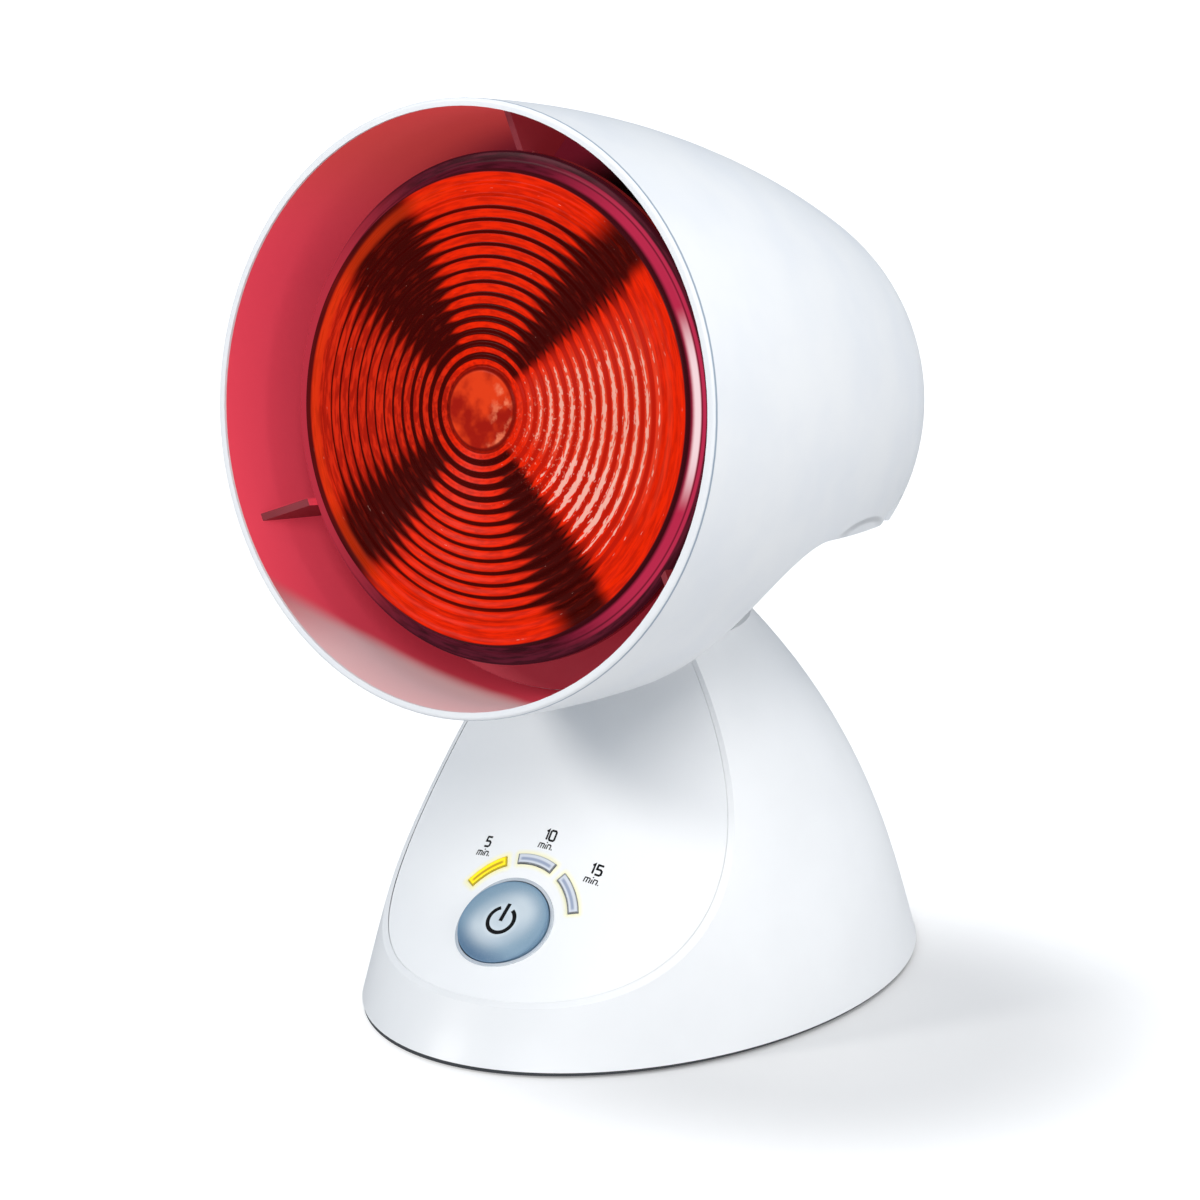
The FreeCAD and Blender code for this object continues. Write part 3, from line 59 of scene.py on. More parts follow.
# %% The lamp frame and the face frame
HEAD_TILT = math.radians(-10)
CENTRING = 1.76  # the lamp is moved back by this much, so that its box is centred
pivot = Vector((0, CENTRING - 4, 136)) * MM
rim_from_pivot = Vector((0, -97.45, 44.8)) * MM
turned_head = Matrix.Translation(pivot) @ Matrix.Rotation(HEAD_TILT, 4, "X")
lamp_frame = turned_head @ Matrix.Translation(rim_from_pivot)

hollow_middle = Vector((0, CENTRING - 172.7, 152.5)) * MM
button_place = Vector((0, CENTRING - 71.78, 34.99)) * MM
outward = (hollow_middle - button_place).normalized()
FACE_TURN = math.atan2(-outward.y, outward.z)
face_frame = Matrix.Translation(button_place) @ Matrix.Rotation(FACE_TURN, 4, "X")
print("lamp frame at", lamp_frame.translation, "and face frame turned by", round(math.degrees(FACE_TURN), 2))

# %% [markdown]
# ## A way to write finishes
#
# A finish in Blender is a tree of nodes. Written call by call, a tree is long and hard to
# read, so two small classes keep the usual moves short: place a node, join two sockets, do a
# sum, blend two colours. Each finish below is then a few lines that read like a description.
# A number that is the same all over a part goes straight onto the shader's own socket.

# %% Colours as they look on a screen
def tint(red, green, blue):
    """A colour given as it looks on a screen, 0 to 255, in the linear numbers that shaders use."""
    linear = []
    for part in (red, green, blue):
        share = part / 255
        linear.append(share / 12.92 if share <= 0.04045 else ((share + 0.055) / 1.055) ** 2.4)
    return (*linear, 1.0)


NO_LIGHT = (0, 0, 0, 1)
FULL_WHITE = (1, 1, 1, 1)
print("a screen's middle grey is", round(tint(128, 128, 128)[0], 3), "to a shader")


# %% The moves in a tree of nodes
class Tree:
    """A tree of nodes. Each move gives back the socket that holds its result."""

    def __init__(self, tree):
        self.tree = tree

    def node(self, kind, inputs, **settings):
        made = self.tree.nodes.new(kind)
        for name, value in settings.items():
            setattr(made, name, value)
        for name, value in inputs.items():
            self.feed(made.inputs[name], value)
        return made

    def feed(self, socket, value):
        """Join a socket to another one, or give it a plain value."""
        if isinstance(value, bpy.types.NodeSocket):
            self.tree.links.new(value, socket)
        else:
            socket.default_value = value

    def reckon(self, operation, first, second=0.0):
        return self.node("ShaderNodeMath", {0: first, 1: second}, operation=operation).outputs[0]

    def times(self, first, *others):
        for other in others:
            first = self.reckon("MULTIPLY", first, other)
        return first

    def plus(self, first, second):
        return self.reckon("ADD", first, second)

    def minus(self, first, second):
        return self.reckon("SUBTRACT", first, second)

    def larger(self, first, *others):
        for other in others:
            first = self.reckon("MAXIMUM", first, other)
        return first

    def size_of(self, value):
        """The value without its sign."""
        return self.reckon("ABSOLUTE", value)

    def without(self, share):
        """1 where a share is 0, and 0 where it is 1."""
        return self.minus(1.0, share)

    def length(self, first, second):
        """How far away a point is that lies this far one way and that far the other."""
        return self.reckon("SQRT", self.plus(self.times(first, first), self.times(second, second)))

    def rise(self, value, low, high):
        """0 below low, 1 above high, and a smooth step between; low may be the larger one."""
        wanted = {"Value": value, "From Min": low, "From Max": high}
        return self.node("ShaderNodeMapRange", wanted, interpolation_type="SMOOTHSTEP").outputs[0]

    def rise_mm(self, value, low, high):
        """The same for a length, with low and high in millimetres."""
        return self.rise(value, low * MM, high * MM)

    def between(self, value, low, high):
        """A value of 0 to 1, moved to run from low to high."""
        return self.node("ShaderNodeMapRange", {"Value": value, "To Min": low, "To Max": high}).outputs[0]

    def blend(self, share, first, second):
        """The first colour where share is 0, the second where it is 1."""
        wanted = {0: share, 6: first, 7: second}
        return self.node("ShaderNodeMix", wanted, data_type="RGBA").outputs[2]


print("the moves are", [name for name in vars(Tree) if name[0] != "_"])


# %% A finish is a tree around one shader
class Finish(Tree):
    """A material built around one Principled shader."""

    def __init__(self, name, **uniform):
        self.material = bpy.data.materials.new(name)
        self.material.use_nodes = True
        super().__init__(self.material.node_tree)
        self.shader = self.tree.nodes["Principled BSDF"]
        for socket, value in uniform.items():
            self.shader.inputs[socket.replace("_", " ")].default_value = value

    def set(self, socket, value):
        self.feed(self.shader.inputs[socket], value)

    def place(self, matrix=None):
        """A point of the part, in its own frame or in a local one."""
        here = self.node("ShaderNodeTexCoord", {}).outputs["Object"]
        if matrix is None:
            return here
        wanted = {"Vector": here, "Location": matrix.translation, "Rotation": matrix.to_euler()}
        return self.node("ShaderNodeMapping", wanted, vector_type="TEXTURE").outputs[0]

    def axes(self, point):
        return self.node("ShaderNodeSeparateXYZ", {"Vector": point}).outputs

    def noise(self, point, size, detail=2.0):
        """Soft irregular values around 0.5, in patches of about the given size in millimetres."""
        wanted = {"Vector": point, "Scale": 1000 / size, "Detail": detail}
        return self.node("ShaderNodeTexNoise", wanted).outputs[0]

    def relief(self, height, depth):
        """Bumps as deep as depth millimetres where height goes from 0 to 1."""
        wanted = {"Height": height, "Distance": depth * MM, "Strength": 1.0}
        self.set("Normal", self.node("ShaderNodeBump", wanted).outputs[0])

    def shine(self, colour, strength=1.0):
        """Give off light of this colour."""
        self.set("Emission Color", colour)
        self.set("Emission Strength", strength)


def give(finish, *names):
    """Put a finish on solid parts, in place of what they came with."""
    for name in names:
        mesh = nodes[name].data
        mesh.materials.clear()
        mesh.materials.append(finish.material)


print("a finish adds", [name for name in vars(Finish) if name[0] != "_"])

# %% [markdown]
# ## Moulded plastic
#
# The lamp is mostly injection-moulded plastic. A real moulding isn't one flat colour: its
# tone drifts slightly over the part, its gloss varies with the steel of the mould, and its
# skin has a very fine texture. Three noises of different sizes give those three things. One
# function makes every plain plastic here, from glossy white to matt black rubber.

# %% A function for plain mouldings
TONE_PATCH = 28  # the size of a patch of tone, in millimetres
GLOSS_PATCH = 6


def moulding(name, colour, gloss, grain, depth, drift, **uniform):
    """gloss is two roughness values, grain and depth are the skin's in mm, drift is the tone's."""
    finish = Finish(name, **uniform)
    here = finish.place()
    deeper = [part * (1 - drift * 2) for part in colour[:3]] + [1.0]
    patches = finish.rise(finish.noise(here, TONE_PATCH, 3.0), 0.3, 0.7)
    finish.set("Base Color", finish.blend(patches, colour, deeper))
    finish.set("Roughness", finish.between(finish.noise(here, GLOSS_PATCH), *gloss))
    finish.relief(finish.noise(here, grain), depth)
    return finish


WHITE = tint(244, 245, 246)
WHITE_GLOSS = (0.34, 0.44)
PLASTIC_IOR = 1.49
white_gloss = moulding("glossy_white_moulding", WHITE, WHITE_GLOSS, 9.0, 0.006, 0.012, IOR=PLASTIC_IOR)
give(white_gloss, "base_shell", "neck_knuckle", "hinge_cap_right", "hinge_cap_left")
print("white mouldings dressed with", white_gloss.material.name)

# %% [markdown]
# ## The mouldings that seldom show
#
# Under the head and inside the base sit matt, dark and rubbery parts. They could share one
# dark grey, but people do turn the lamp over and open it, so each has its own tone, gloss and
# skin. They differ only in numbers, so the numbers stand in a table and one loop does the rest.

# %% Matt, dark and rubbery mouldings
PLAIN_MOULDINGS = (
    # name, colour, gloss, grain and depth of the skin, drift of the tone, parts
    ("dark_base_moulding", (62, 64, 68), (0.45, 0.6), 0.6, 0.03, 0.08, ("base_plate",)),
    ("foot_rubber", (38, 38, 40), (0.65, 0.85), 0.4, 0.02, 0.12, ("rubber_feet", "cord_inlet")),
    ("natural_nylon", (232, 228, 214), (0.4, 0.5), 0.8, 0.008, 0.03, ("axle_bush_right", "axle_bush_left")),
    ("black_moulding", (34, 34, 37), (0.35, 0.5), 0.5, 0.012, 0.1,
     ("tact_switch", "switch_plunger", "buzzer", "relay")),
    ("resin_case", (214, 178, 72), (0.3, 0.42), 1.5, 0.015, 0.06, ("capacitor",)),
    ("grey_terminal_moulding", (176, 180, 182), (0.4, 0.5), 0.7, 0.01, 0.05, ("terminal_block",)),
    ("tinted_resin", (238, 214, 96), (0.12, 0.2), 2.0, 0.004, 0.04, ("indicator_leds",)),
)
for name, colour, gloss, grain, depth, drift, parts in PLAIN_MOULDINGS:
    give(moulding(name, tint(*colour), gloss, grain, depth, drift), *parts)
print("plain mouldings:", [row[0] for row in PLAIN_MOULDINGS])

# %% [markdown]
# ## Metals
#
# The screws, the yoke and the strap are zinc-plated steel, the hinge pin is ground bar, and
# the lamp's cap is rolled brass. Up close, each shows how it was worked. An anisotropic shader
# could show that, but it needs tangents on every part. One noise, drawn out along the way of
# working, gives the colour, the gloss and the scratches together, and fits any part.

# %% A function for metals, with the lines of how they were worked
LINE_SIZE = 1.2
LINE_DEPTH = 0.006
DEEPER_TONE = 0.8


def metal(name, colour, gloss, stretch):
    """stretch scales the point before the noise, so the noise draws out into fine lines."""
    finish = Finish(name, Metallic=1.0)
    drawn = finish.node("ShaderNodeMapping", {"Vector": finish.place(), "Scale": stretch}).outputs[0]
    lines = finish.noise(drawn, LINE_SIZE, 4.0)
    deeper = [part * DEEPER_TONE for part in colour[:3]] + [1.0]
    finish.set("Base Color", finish.blend(lines, colour, deeper))
    finish.set("Roughness", finish.between(lines, *gloss))
    finish.relief(lines, LINE_DEPTH)
    return finish


ZINC = (198, 201, 206)
METALS = (
    # name, colour, gloss, how the noise is drawn out, parts
    ("zinc_plated_screws", ZINC, (0.22, 0.4), (1, 1, 1),
     ("board_screws", "base_screws", "power_board_screws", "knuckle_screws", "cover_screws",
      "bracket_screws", "strap_screws", "holder_screws", "axle_clip")),
    ("zinc_plated_sheet", ZINC, (0.25, 0.45), (1, 0.08, 1),
     ("tilt_bracket", "socket_bracket", "friction_washer_right", "friction_washer_left")),
    ("ground_axle_steel", (190, 192, 196), (0.18, 0.3), (1, 0.05, 0.05), ("hinge_axle",)),
    ("rolled_brass", (214, 180, 110), (0.22, 0.38), (1, 0.2, 1),
     ("lamp_screw_cap", "lampholder_thread_shell", "lamp_contact", "lampholder_contact")),
    ("drawn_tungsten", (120, 118, 122), (0.35, 0.5), (1, 0.1, 1), ("filament",)),
)
for name, colour, gloss, stretch, parts in METALS:
    give(metal(name, tint(*colour), gloss, stretch), *parts)
print("metals:", [row[0] for row in METALS])

# %% [markdown]
# ## Boards, ceramic and clear glass
#
# The boards are green solder mask over copper tracks, the lampholder is glazed ceramic, and
# the fuse and the lamp's stem are clear glass. Tracks could be drawn one by one, but they only
# show with the base open, so the straight borders of a cell pattern stand in for them. The
# ceramic is a moulding with a clear coat. The glass lets light through and ripples slightly.

# %% Boards, ceramic and clear glass
board = Finish("green_board", Roughness=0.35, Coat_Weight=0.4)
cells = {"Vector": board.place(), "Scale": 240.0, "Randomness": 0.35}
tracks = board.node("ShaderNodeTexVoronoi", cells, feature="DISTANCE_TO_EDGE", distance="MANHATTAN")
copper = board.rise(tracks.outputs[0], 0.05, 0.09)
board.set("Base Color", board.blend(copper, tint(74, 128, 78), tint(30, 84, 48)))
board.relief(copper, 0.04)
give(board, "timer_board", "power_board")

ceramic = moulding("glazed_ceramic", tint(240, 234, 220), (0.08, 0.16), 3.0, 0.01, 0.02)
ceramic.set("Coat Weight", 0.6)
give(ceramic, "lampholder")

for name, part in (("clear_lamp_glass", "glass_stem"), ("clear_fuse_glass", "fuse")):
    glass = Finish(name, IOR=1.5, Transmission_Weight=1.0)
    ripple = glass.noise(glass.place(), 4)
    glass.set("Base Color", glass.blend(ripple, tint(240, 246, 246), tint(226, 236, 236)))
    glass.set("Roughness", glass.rise(ripple, -0.6, 6.0))
    glass.relief(ripple, 0.02)
    give(glass, part)
print("boards, ceramic and clear glass are dressed")

# %% [markdown]
# ## The shade: white outside, painted red light within
#
# The shade is one white moulding, but the lamp floods its inside with red light. The red
# could be left to a real red light, which takes long to render and leaves noise, so it is
# painted, with a little glow of its own. All of it is written in the lamp's own frame, so it
# stays on the shade when the head tilts. Two numbers describe a point there: how far it is
# from the lamp's axis, and which way round the axis it lies.

# %% Distance from the lamp's axis, and the direction round it
NEAREST = 0.5  # no point counts as nearer to the axis than this, so nothing is divided by 0


def round_axis(finish, across, above):
    """The distance from the lamp's axis, and how far the direction leans right and up, -1 to 1."""
    radius = finish.larger(finish.length(across, above), NEAREST * MM)
    return radius, finish.reckon("DIVIDE", across, radius), finish.reckon("DIVIDE", above, radius)


def towards(finish, lean_right, lean_up, angle):
    """The cosine of the angle between a direction and a given one, counted from the right, upwards."""
    turn = math.radians(angle)
    return finish.plus(finish.times(lean_right, math.cos(turn)), finish.times(lean_up, math.sin(turn)))


print("directions are counted from the right, so 90 degrees is the top of the mouth")

# %% [markdown]
# ## The red that floods the inside
#
# Inside the mouth the painted red light is brightest on the left, brownish at the top, and
# fades to a pale pink along the lower lip, where painted daylight gets in. Painted shade
# deepens it beside the glass and makes it nearly black behind the lamp. Each of these is one
# blend, laid over the last like a coat of paint, so one can be changed without touching the others.

# %% The painted red light and shade of the inside, and its glow
LOWER_LIP = 262.0  # the direction in which the pale zone has its middle
PALE_HALF = math.cos(math.radians(40))
PALE_DEPTH = 36.0
PALE_WANDER = 6.0
GLOW = 0.34
GLOW_AT_TOP = 0.5
GLOW_LOST_IN_PALE = 0.28


def flooded_red(finish, point, behind, lean_right, lean_up):
    """The painted red light and shade of the inside, and the share of it that glows."""
    # painted red light: brightest on the left, browner at the top
    left = finish.rise(towards(finish, lean_right, lean_up, 180), 0.2, 0.95)
    top = finish.rise(towards(finish, lean_right, lean_up, 84), 0.2, 0.8)
    red = finish.blend(left, tint(188, 52, 70), tint(222, 66, 86))
    red = finish.blend(top, red, tint(172, 56, 56))

    # painted daylight: a pale pink zone along the lower lip
    lip = towards(finish, lean_right, lean_up, LOWER_LIP)
    share = finish.reckon("DIVIDE", finish.minus(lip, PALE_HALF), 1 - PALE_HALF)
    edge = finish.times(share, PALE_DEPTH * MM)
    wander = finish.times(finish.minus(finish.noise(point, 30), 0.5), PALE_WANDER * MM)
    pale = finish.rise_mm(finish.minus(finish.plus(edge, wander), behind), -3, 9)
    pink = finish.blend(finish.rise(lip, 0.78, 0.97), tint(204, 112, 118), tint(246, 212, 212))
    red = finish.blend(pale, red, pink)

    # painted shade: the red deepens beside the glass
    red = finish.blend(finish.rise_mm(behind, 34, 75), red, tint(98, 20, 34))
    # painted shade: nearly black behind the lamp, where no light reaches, and no glow there
    tail = finish.rise_mm(behind, 85, 120)
    red = finish.blend(tail, red, tint(44, 13, 18))
    glowing = finish.plus(GLOW, finish.times(top, GLOW_AT_TOP))
    glowing = finish.minus(glowing, finish.times(pale, GLOW_LOST_IN_PALE))
    return red, finish.times(glowing, finish.without(tail))


print("the pale zone reaches", PALE_DEPTH, "mm into the mouth")

# %% [markdown]
# ## Where the lamp's light ends
#
# The cover under the head is a tray, and the lamp's light stops in it. The red could end in a
# plain cut, but that would leave red strips along the tray's edge. So its limit follows the
# same rounded corner as the tray's floor. The shade and the cover both use it.

# %% The limit of the light
CORNER_BEHIND = 88.0  # the middle of the corner's curve, behind the rim
CORNER_BELOW = 64.0  # and below the lamp's axis
CORNER_RADIUS = 38.0
CORNER_SOFT = 0.5


def lamp_reaches(finish, behind, above):
    """1 over the tray, inside the head, and 0 under it."""
    ahead = finish.larger(finish.minus(CORNER_BEHIND * MM, behind), 0.0)
    higher = finish.larger(finish.plus(above, CORNER_BELOW * MM), 0.0)
    away = finish.length(ahead, higher)
    return finish.rise_mm(away, CORNER_RADIUS - CORNER_SOFT, CORNER_RADIUS + CORNER_SOFT)


print("the tray's corner curves round a point", CORNER_BEHIND, "mm behind the rim,", CORNER_BELOW, "mm below the axis")

# %% [markdown]
# ## Telling the inside from the outside
#
# One mesh has both faces of the wall, so the finish has to know which it is on. Faces could
# be picked by hand, but any change to the solid would undo that. The way a face looks tells
# the inside of the wall, and the middle of the wall's curve tells the ribs and bosses, which
# look every way. The finger hollow at the back cuts through that curve and is left out.

# %% The inside of the shade
WALL_AT_RIM = 88.0
WALL_CURVE = 1.136  # how fast the wall's radius shrinks with the square of the depth, per metre
RIBS_END = (50, 47)
INSIDE_ENDS = (150, 147)
LIP_ENDS = (0.7, 1.1)
HOLLOW_UNDER = (-17, -20)
HOLLOW_BEHIND = (118, 122)

shade = Finish("shade_white_with_painted_red_light_inside", IOR=PLASTIC_IOR)
point = shade.place(lamp_frame)
across, behind, above = shade.axes(point)
radius, lean_right, lean_up = round_axis(shade, across, above)
facing = {"Vector": shade.node("ShaderNodeTexCoord", {}).outputs["Normal"], "Angle": -HEAD_TILT}
turned = shade.node("ShaderNodeVectorRotate", facing, rotation_type="X_AXIS").outputs[0]
face_across, _, face_above = shade.axes(turned)
outwards = shade.plus(shade.times(face_across, lean_right), shade.times(face_above, lean_up))
inside_wall = shade.rise(outwards, -0.45, -0.6)

wall_middle = shade.minus(WALL_AT_RIM * MM, shade.times(behind, behind, WALL_CURVE))
inner_side = shade.rise_mm(shade.minus(radius, wall_middle), 0.2, -0.2)
lamp_part = shade.times(shade.rise_mm(behind, *LIP_ENDS), lamp_reaches(shade, behind, above))
finger_cut = shade.times(shade.rise_mm(above, *HOLLOW_UNDER), shade.rise_mm(behind, *HOLLOW_BEHIND))
inner_parts = shade.times(inner_side, shade.rise_mm(behind, *INSIDE_ENDS), shade.without(finger_cut))
within = shade.times(shade.larger(inside_wall, inner_parts), lamp_part)
print("the wall's middle is", WALL_AT_RIM, "mm from the axis at the rim")

# %% The painted red light of the inside, with painted shade on the lamp's ribs
crimson, glowing = flooded_red(shade, point, behind, lean_right, lean_up)
# painted shade: the ribs' faces are darker and glow less
web = shade.times(inner_side, shade.rise_mm(behind, *RIBS_END), shade.rise(outwards, -0.93, -0.82))
crimson = shade.blend(web, crimson, tint(132, 40, 50))
glowing = shade.times(glowing, shade.without(shade.times(web, 0.7)))
print("the ribs end", RIBS_END[0], "mm behind the rim")

# %% [markdown]
# ## The lip and the white outside
#
# A fine seam runs round the mouth just behind the lip, where two parts of the mould met. As a
# real groove it would need very small faces, so its shade is painted as a thin grey line. The
# white is the same as the base's. On the red the gloss is duller, so that no hard reflection lies on it.

# %% The seam's painted shadow line, the white and the gloss
# painted shadow: a thin grey line where the seam's groove would hold shade
seam_shadow = shade.times(shade.rise_mm(behind, 0.5, 0.9), shade.rise_mm(behind, 1.7, 1.3), shade.rise(outwards, 0.3, 0.6))
patches = shade.rise(shade.noise(point, TONE_PATCH, 3.0), 0.3, 0.7)
white = shade.blend(patches, WHITE, tint(239, 241, 244))
white = shade.blend(seam_shadow, white, tint(150, 164, 180))
# the inside gets the painted red light and a little painted glow; the outside stays white
shade.set("Base Color", shade.blend(within, white, crimson))
shade.shine(shade.blend(shade.times(within, glowing), NO_LIGHT, crimson))
gloss = shade.between(shade.noise(point, GLOSS_PATCH), *WHITE_GLOSS)
shade.set("Roughness", shade.plus(gloss, shade.times(within, 0.3)))
print("the seam behind the lip is 1 mm wide")

# %% [markdown]
# ## The finger hollow
#
# On each side, above the lower edge, a long shallow hollow gives the fingers a hold. Cut into
# the mesh it would disturb the smooth curve of the shell. So the finish bends the light there
# instead: an oval of relief with soft ends, laid over the fine skin of the plastic.

# %% A shallow finger hollow on each side, above the lower edge
HOLLOW_MIDDLE = 117.0
HOLLOW_HALF = 24.0
HOLLOW_HEIGHT = 6.0
HOLLOW_DEPTH = 1.6
LOWER_EDGE = -31.0
SKIN_GRAIN = 9.0
SKIN_DEPTH = 0.006
along = shade.reckon("DIVIDE", shade.minus(behind, HOLLOW_MIDDLE * MM), HOLLOW_HALF * MM)
upwards = shade.reckon("DIVIDE", shade.minus(above, LOWER_EDGE * MM), HOLLOW_HEIGHT * MM)
hollow = shade.rise(shade.plus(shade.times(along, along), shade.times(upwards, upwards)), 1.0, 0.35)
skin = shade.times(shade.noise(point, SKIN_GRAIN), SKIN_DEPTH)
shade.relief(shade.minus(skin, shade.times(hollow, HOLLOW_DEPTH)), 1.0)
give(shade, "shade")
print("the shade is dressed with", shade.material.name)

# %% [markdown]
# ## The cover under the head
#
# The cover is a separate moulding, slightly greyer than the shade and matt, and it catches
# the same painted red light and glow inside. It could be a finish of its own, but it only
# differs from a plain moulding over the lamp, so it starts as one and the painted red light is laid over its colour.

# %% The cover, matt outside, with painted red light inside
cover = moulding("matt_cover_moulding", tint(228, 231, 234), (0.42, 0.55), 0.5, 0.02, 0.02)
point = cover.place(lamp_frame)
across, behind, above = cover.axes(point)
_, lean_right, lean_up = round_axis(cover, across, above)
inwards = lamp_reaches(cover, behind, above)
crimson, glowing = flooded_red(cover, point, behind, lean_right, lean_up)
plain = cover.shader.inputs["Base Color"].links[0].from_socket
# painted red light and shade inside the tray, with a little painted glow
cover.set("Base Color", cover.blend(inwards, plain, crimson))
cover.shine(cover.blend(cover.times(inwards, glowing), NO_LIGHT, crimson))
give(cover, "underside_cover")
print("the cover is dressed with", cover.material.name)

# %% [markdown]
# ## The front glass
#
# The lamp's front is pressed red glass: a bull's eye in the middle of sixteen ring prisms,
# each with a steep side and a gentle one. It could be bumped in a material, but the rings
# are deep enough to catch light, so they are real here. A profile is drawn once from the
# middle outwards and spun round the lamp's axis. The corners of each ring are softened, as
# hot glass leaves them. Spinning with many steps keeps every ring round up close.

# %% Draw the profile of the glass
BULL_EYE = 11.5
GLASS_EDGE = 68.5
FLANGE_EDGE = 74.5
RINGS = 16
RING_PITCH = (GLASS_EDGE - BULL_EYE) / RINGS
RING_DEPTH = 0.7
STEEP_SHARE = 0.25
RING_STEPS = 9
CROWN_FRONT = 11.3
CROWN_RADIUS = 512.33
GLASS_THICK = 3.6


def crown(distance):
    """How far behind the rim the smooth crown lies, at a distance from the axis."""
    return CROWN_FRONT + CROWN_RADIUS - math.sqrt(CROWN_RADIUS ** 2 - distance ** 2)


def ring_cut(share):
    """The depth of a ring prism across its pitch: a quick drop, then a slow rounded climb."""
    if share < STEEP_SHARE:
        return RING_DEPTH * math.sin(math.pi / 2 * share / STEEP_SHARE)
    return RING_DEPTH * (0.5 + 0.5 * math.cos(math.pi * (share - STEEP_SHARE) / (1 - STEEP_SHARE)))


profile = [(crown(distance), distance) for distance in (0, 2, 4, 6, 8, 9.5, 10.5, BULL_EYE)]
for number in range(RINGS):
    for step in range(1, RING_STEPS + 1):
        share = step / RING_STEPS
        distance = BULL_EYE + RING_PITCH * (number + share)
        profile.append((crown(distance) + ring_cut(share), distance))
profile += [(17.2, 69.2), (19.6, 70.0), (20.4, 71.0), (20.5, 72.0)]  # down to the flange
profile += [(20.5, 73.9), (20.7, 74.35), (21.1, FLANGE_EDGE), (22.2, FLANGE_EDGE), (22.5, 74.2)]  # its round edge
profile += [(22.5, 67.2), (19.4, 66.7)]  # its back
for distance in (60, 45, 30, 15, 0):
    profile.append((crown(distance) + GLASS_THICK, distance))
print(len(profile), "points from the bull's eye round to the back")

# %% [markdown]
# ## Spinning the profile
#
# A Screw modifier could spin the profile, but it leaves many points on top of each other in
# the middle. Here each point of the profile becomes a ring of points, and each ring is joined
# to the next. A point on the axis stays one point, so the glass closes cleanly there.

# %% Spin the profile round the lamp's axis
def stood(name, shape):
    """Turn a drawn shape into a piece that stands in the scene."""
    mesh = bpy.data.meshes.new(name)
    shape.to_mesh(mesh)
    shape.free()
    piece = bpy.data.objects.new(name, mesh)
    bpy.context.collection.objects.link(piece)
    return piece


def spun(name, outline, steps, matrix):
    """A round piece: outline is (along the axis, distance from it) in millimetres."""
    shape = bmesh.new()
    rings = []
    for along, distance in outline:
        ring = []
        for step in range(steps if distance else 1):
            angle = 2 * math.pi * step / steps
            spot = Vector((distance * math.cos(angle), along, distance * math.sin(angle))) * MM
            ring.append(shape.verts.new(matrix @ spot))
        rings.append(ring)
    for near, far in zip(rings, rings[1:]):
        for step in range(steps):
            ahead = (step + 1) % steps
            corners = [near[step % len(near)], near[ahead % len(near)], far[ahead % len(far)], far[step % len(far)]]
            shape.faces.new(list(dict.fromkeys(corners)))
    for face in shape.faces:
        face.smooth = True
    bmesh.ops.recalc_face_normals(shape, faces=shape.faces)
    return stood(name, shape)


ROUND_STEPS = 200
front_glass = spun("ringed_front_glass", profile, ROUND_STEPS, lamp_frame)
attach(front_glass, "head")
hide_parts("lamp_lens")
print(front_glass.name, len(front_glass.data.polygons), "faces")

# %% [markdown]
# ## Red glass that glows in four sectors
#
# Seen lit, the glass isn't evenly bright. The silvered bowl behind it throws light out in
# four broad sectors, with dark diagonals between them, and every ring prism adds a dark line
# where its steep side sends the light elsewhere. Real light through real prisms could do it,
# but only with very many rays, so the pattern is painted as a glow. The two numbers behind
# everything are the distance from the axis and the direction round it, so the pattern stays
# with the glass from any side.

# %% Where on the glass a point lies, and on which part of a ring
RING_SHIFT = 0.12  # the dark lines lie this share of a ring further out than its corner
glow = Finish("glowing_red_glass", Roughness=0.3, IOR=1.5, Specular_IOR_Level=0.03)
point = glow.place(lamp_frame)
across, behind, above = glow.axes(point)
radius, lean_right, lean_up = round_axis(glow, across, above)
beyond = glow.minus(radius, (BULL_EYE + RING_SHIFT * RING_PITCH) * MM)
ring_number = glow.reckon("DIVIDE", beyond, RING_PITCH * MM)
phase = glow.reckon("FRACT", glow.plus(ring_number, 2.0))
groove = glow.times(glow.size_of(glow.minus(phase, 0.5)), 2.0)


def sector(middle, half, soft):
    """1 inside a sector of the glass, 0 outside it; angles in degrees from the right, upwards."""
    near = towards(glow, lean_right, lean_up, middle)
    return glow.rise(near, math.cos(math.radians(half + soft)), math.cos(math.radians(max(0, half - soft))))


def zone(low, high, soft):
    """1 between two distances from the axis, in millimetres."""
    return glow.times(glow.rise_mm(radius, low - soft, low + soft), glow.rise_mm(radius, high + soft, high - soft))


def over(share, colour, paint, strength=1.0):
    """A colour with a paint laid over part of it."""
    return glow.blend(glow.times(share, strength), colour, paint)


print("the glass has", RINGS, "rings,", round(RING_PITCH, 2), "mm apart")

# %% [markdown]
# ## Fine lines in the glass
#
# Pressed glass has faint lines that run round with its rings. A noise in plain space would
# look like cloud, so the noise is read on a small cylinder: round the axis it changes slowly,
# and outwards quickly, which draws it out into arcs. Two more noises, in plain space, give
# specks of light and the cloudy middle.

# %% Fine lines that run round with the rings
ARC_RADIUS = 7.0  # the small cylinder on which the noise is read
turned_x = glow.times(lean_right, ARC_RADIUS * MM)
turned_y = glow.times(lean_up, ARC_RADIUS * MM)
spread = glow.node("ShaderNodeCombineXYZ", {0: turned_x, 1: turned_y, 2: radius}).outputs[0]
drawn = glow.noise(spread, 0.8, 3.0)
shorter = glow.node("ShaderNodeVectorMath", {0: spread, 1: (1.5, 1.5, 1.0)}, operation="MULTIPLY").outputs[0]
ripples = glow.noise(shorter, 0.62, 4.0)
sparkle = glow.noise(point, 0.9, 3.0)
mottle = glow.noise(point, 8, 3.0)
print("the noise is stretched round the axis, so it reads as lines in pressed glass")

# %% [markdown]
# ## Sectors and dark lines
#
# A dark line is thin in the middle of a sector and swells towards the diagonals, until the
# lines meet. Each could be a curve with its own width, but one sum gives them all: the light
# of the sector minus the groove of the ring. What is left above 0 glows.

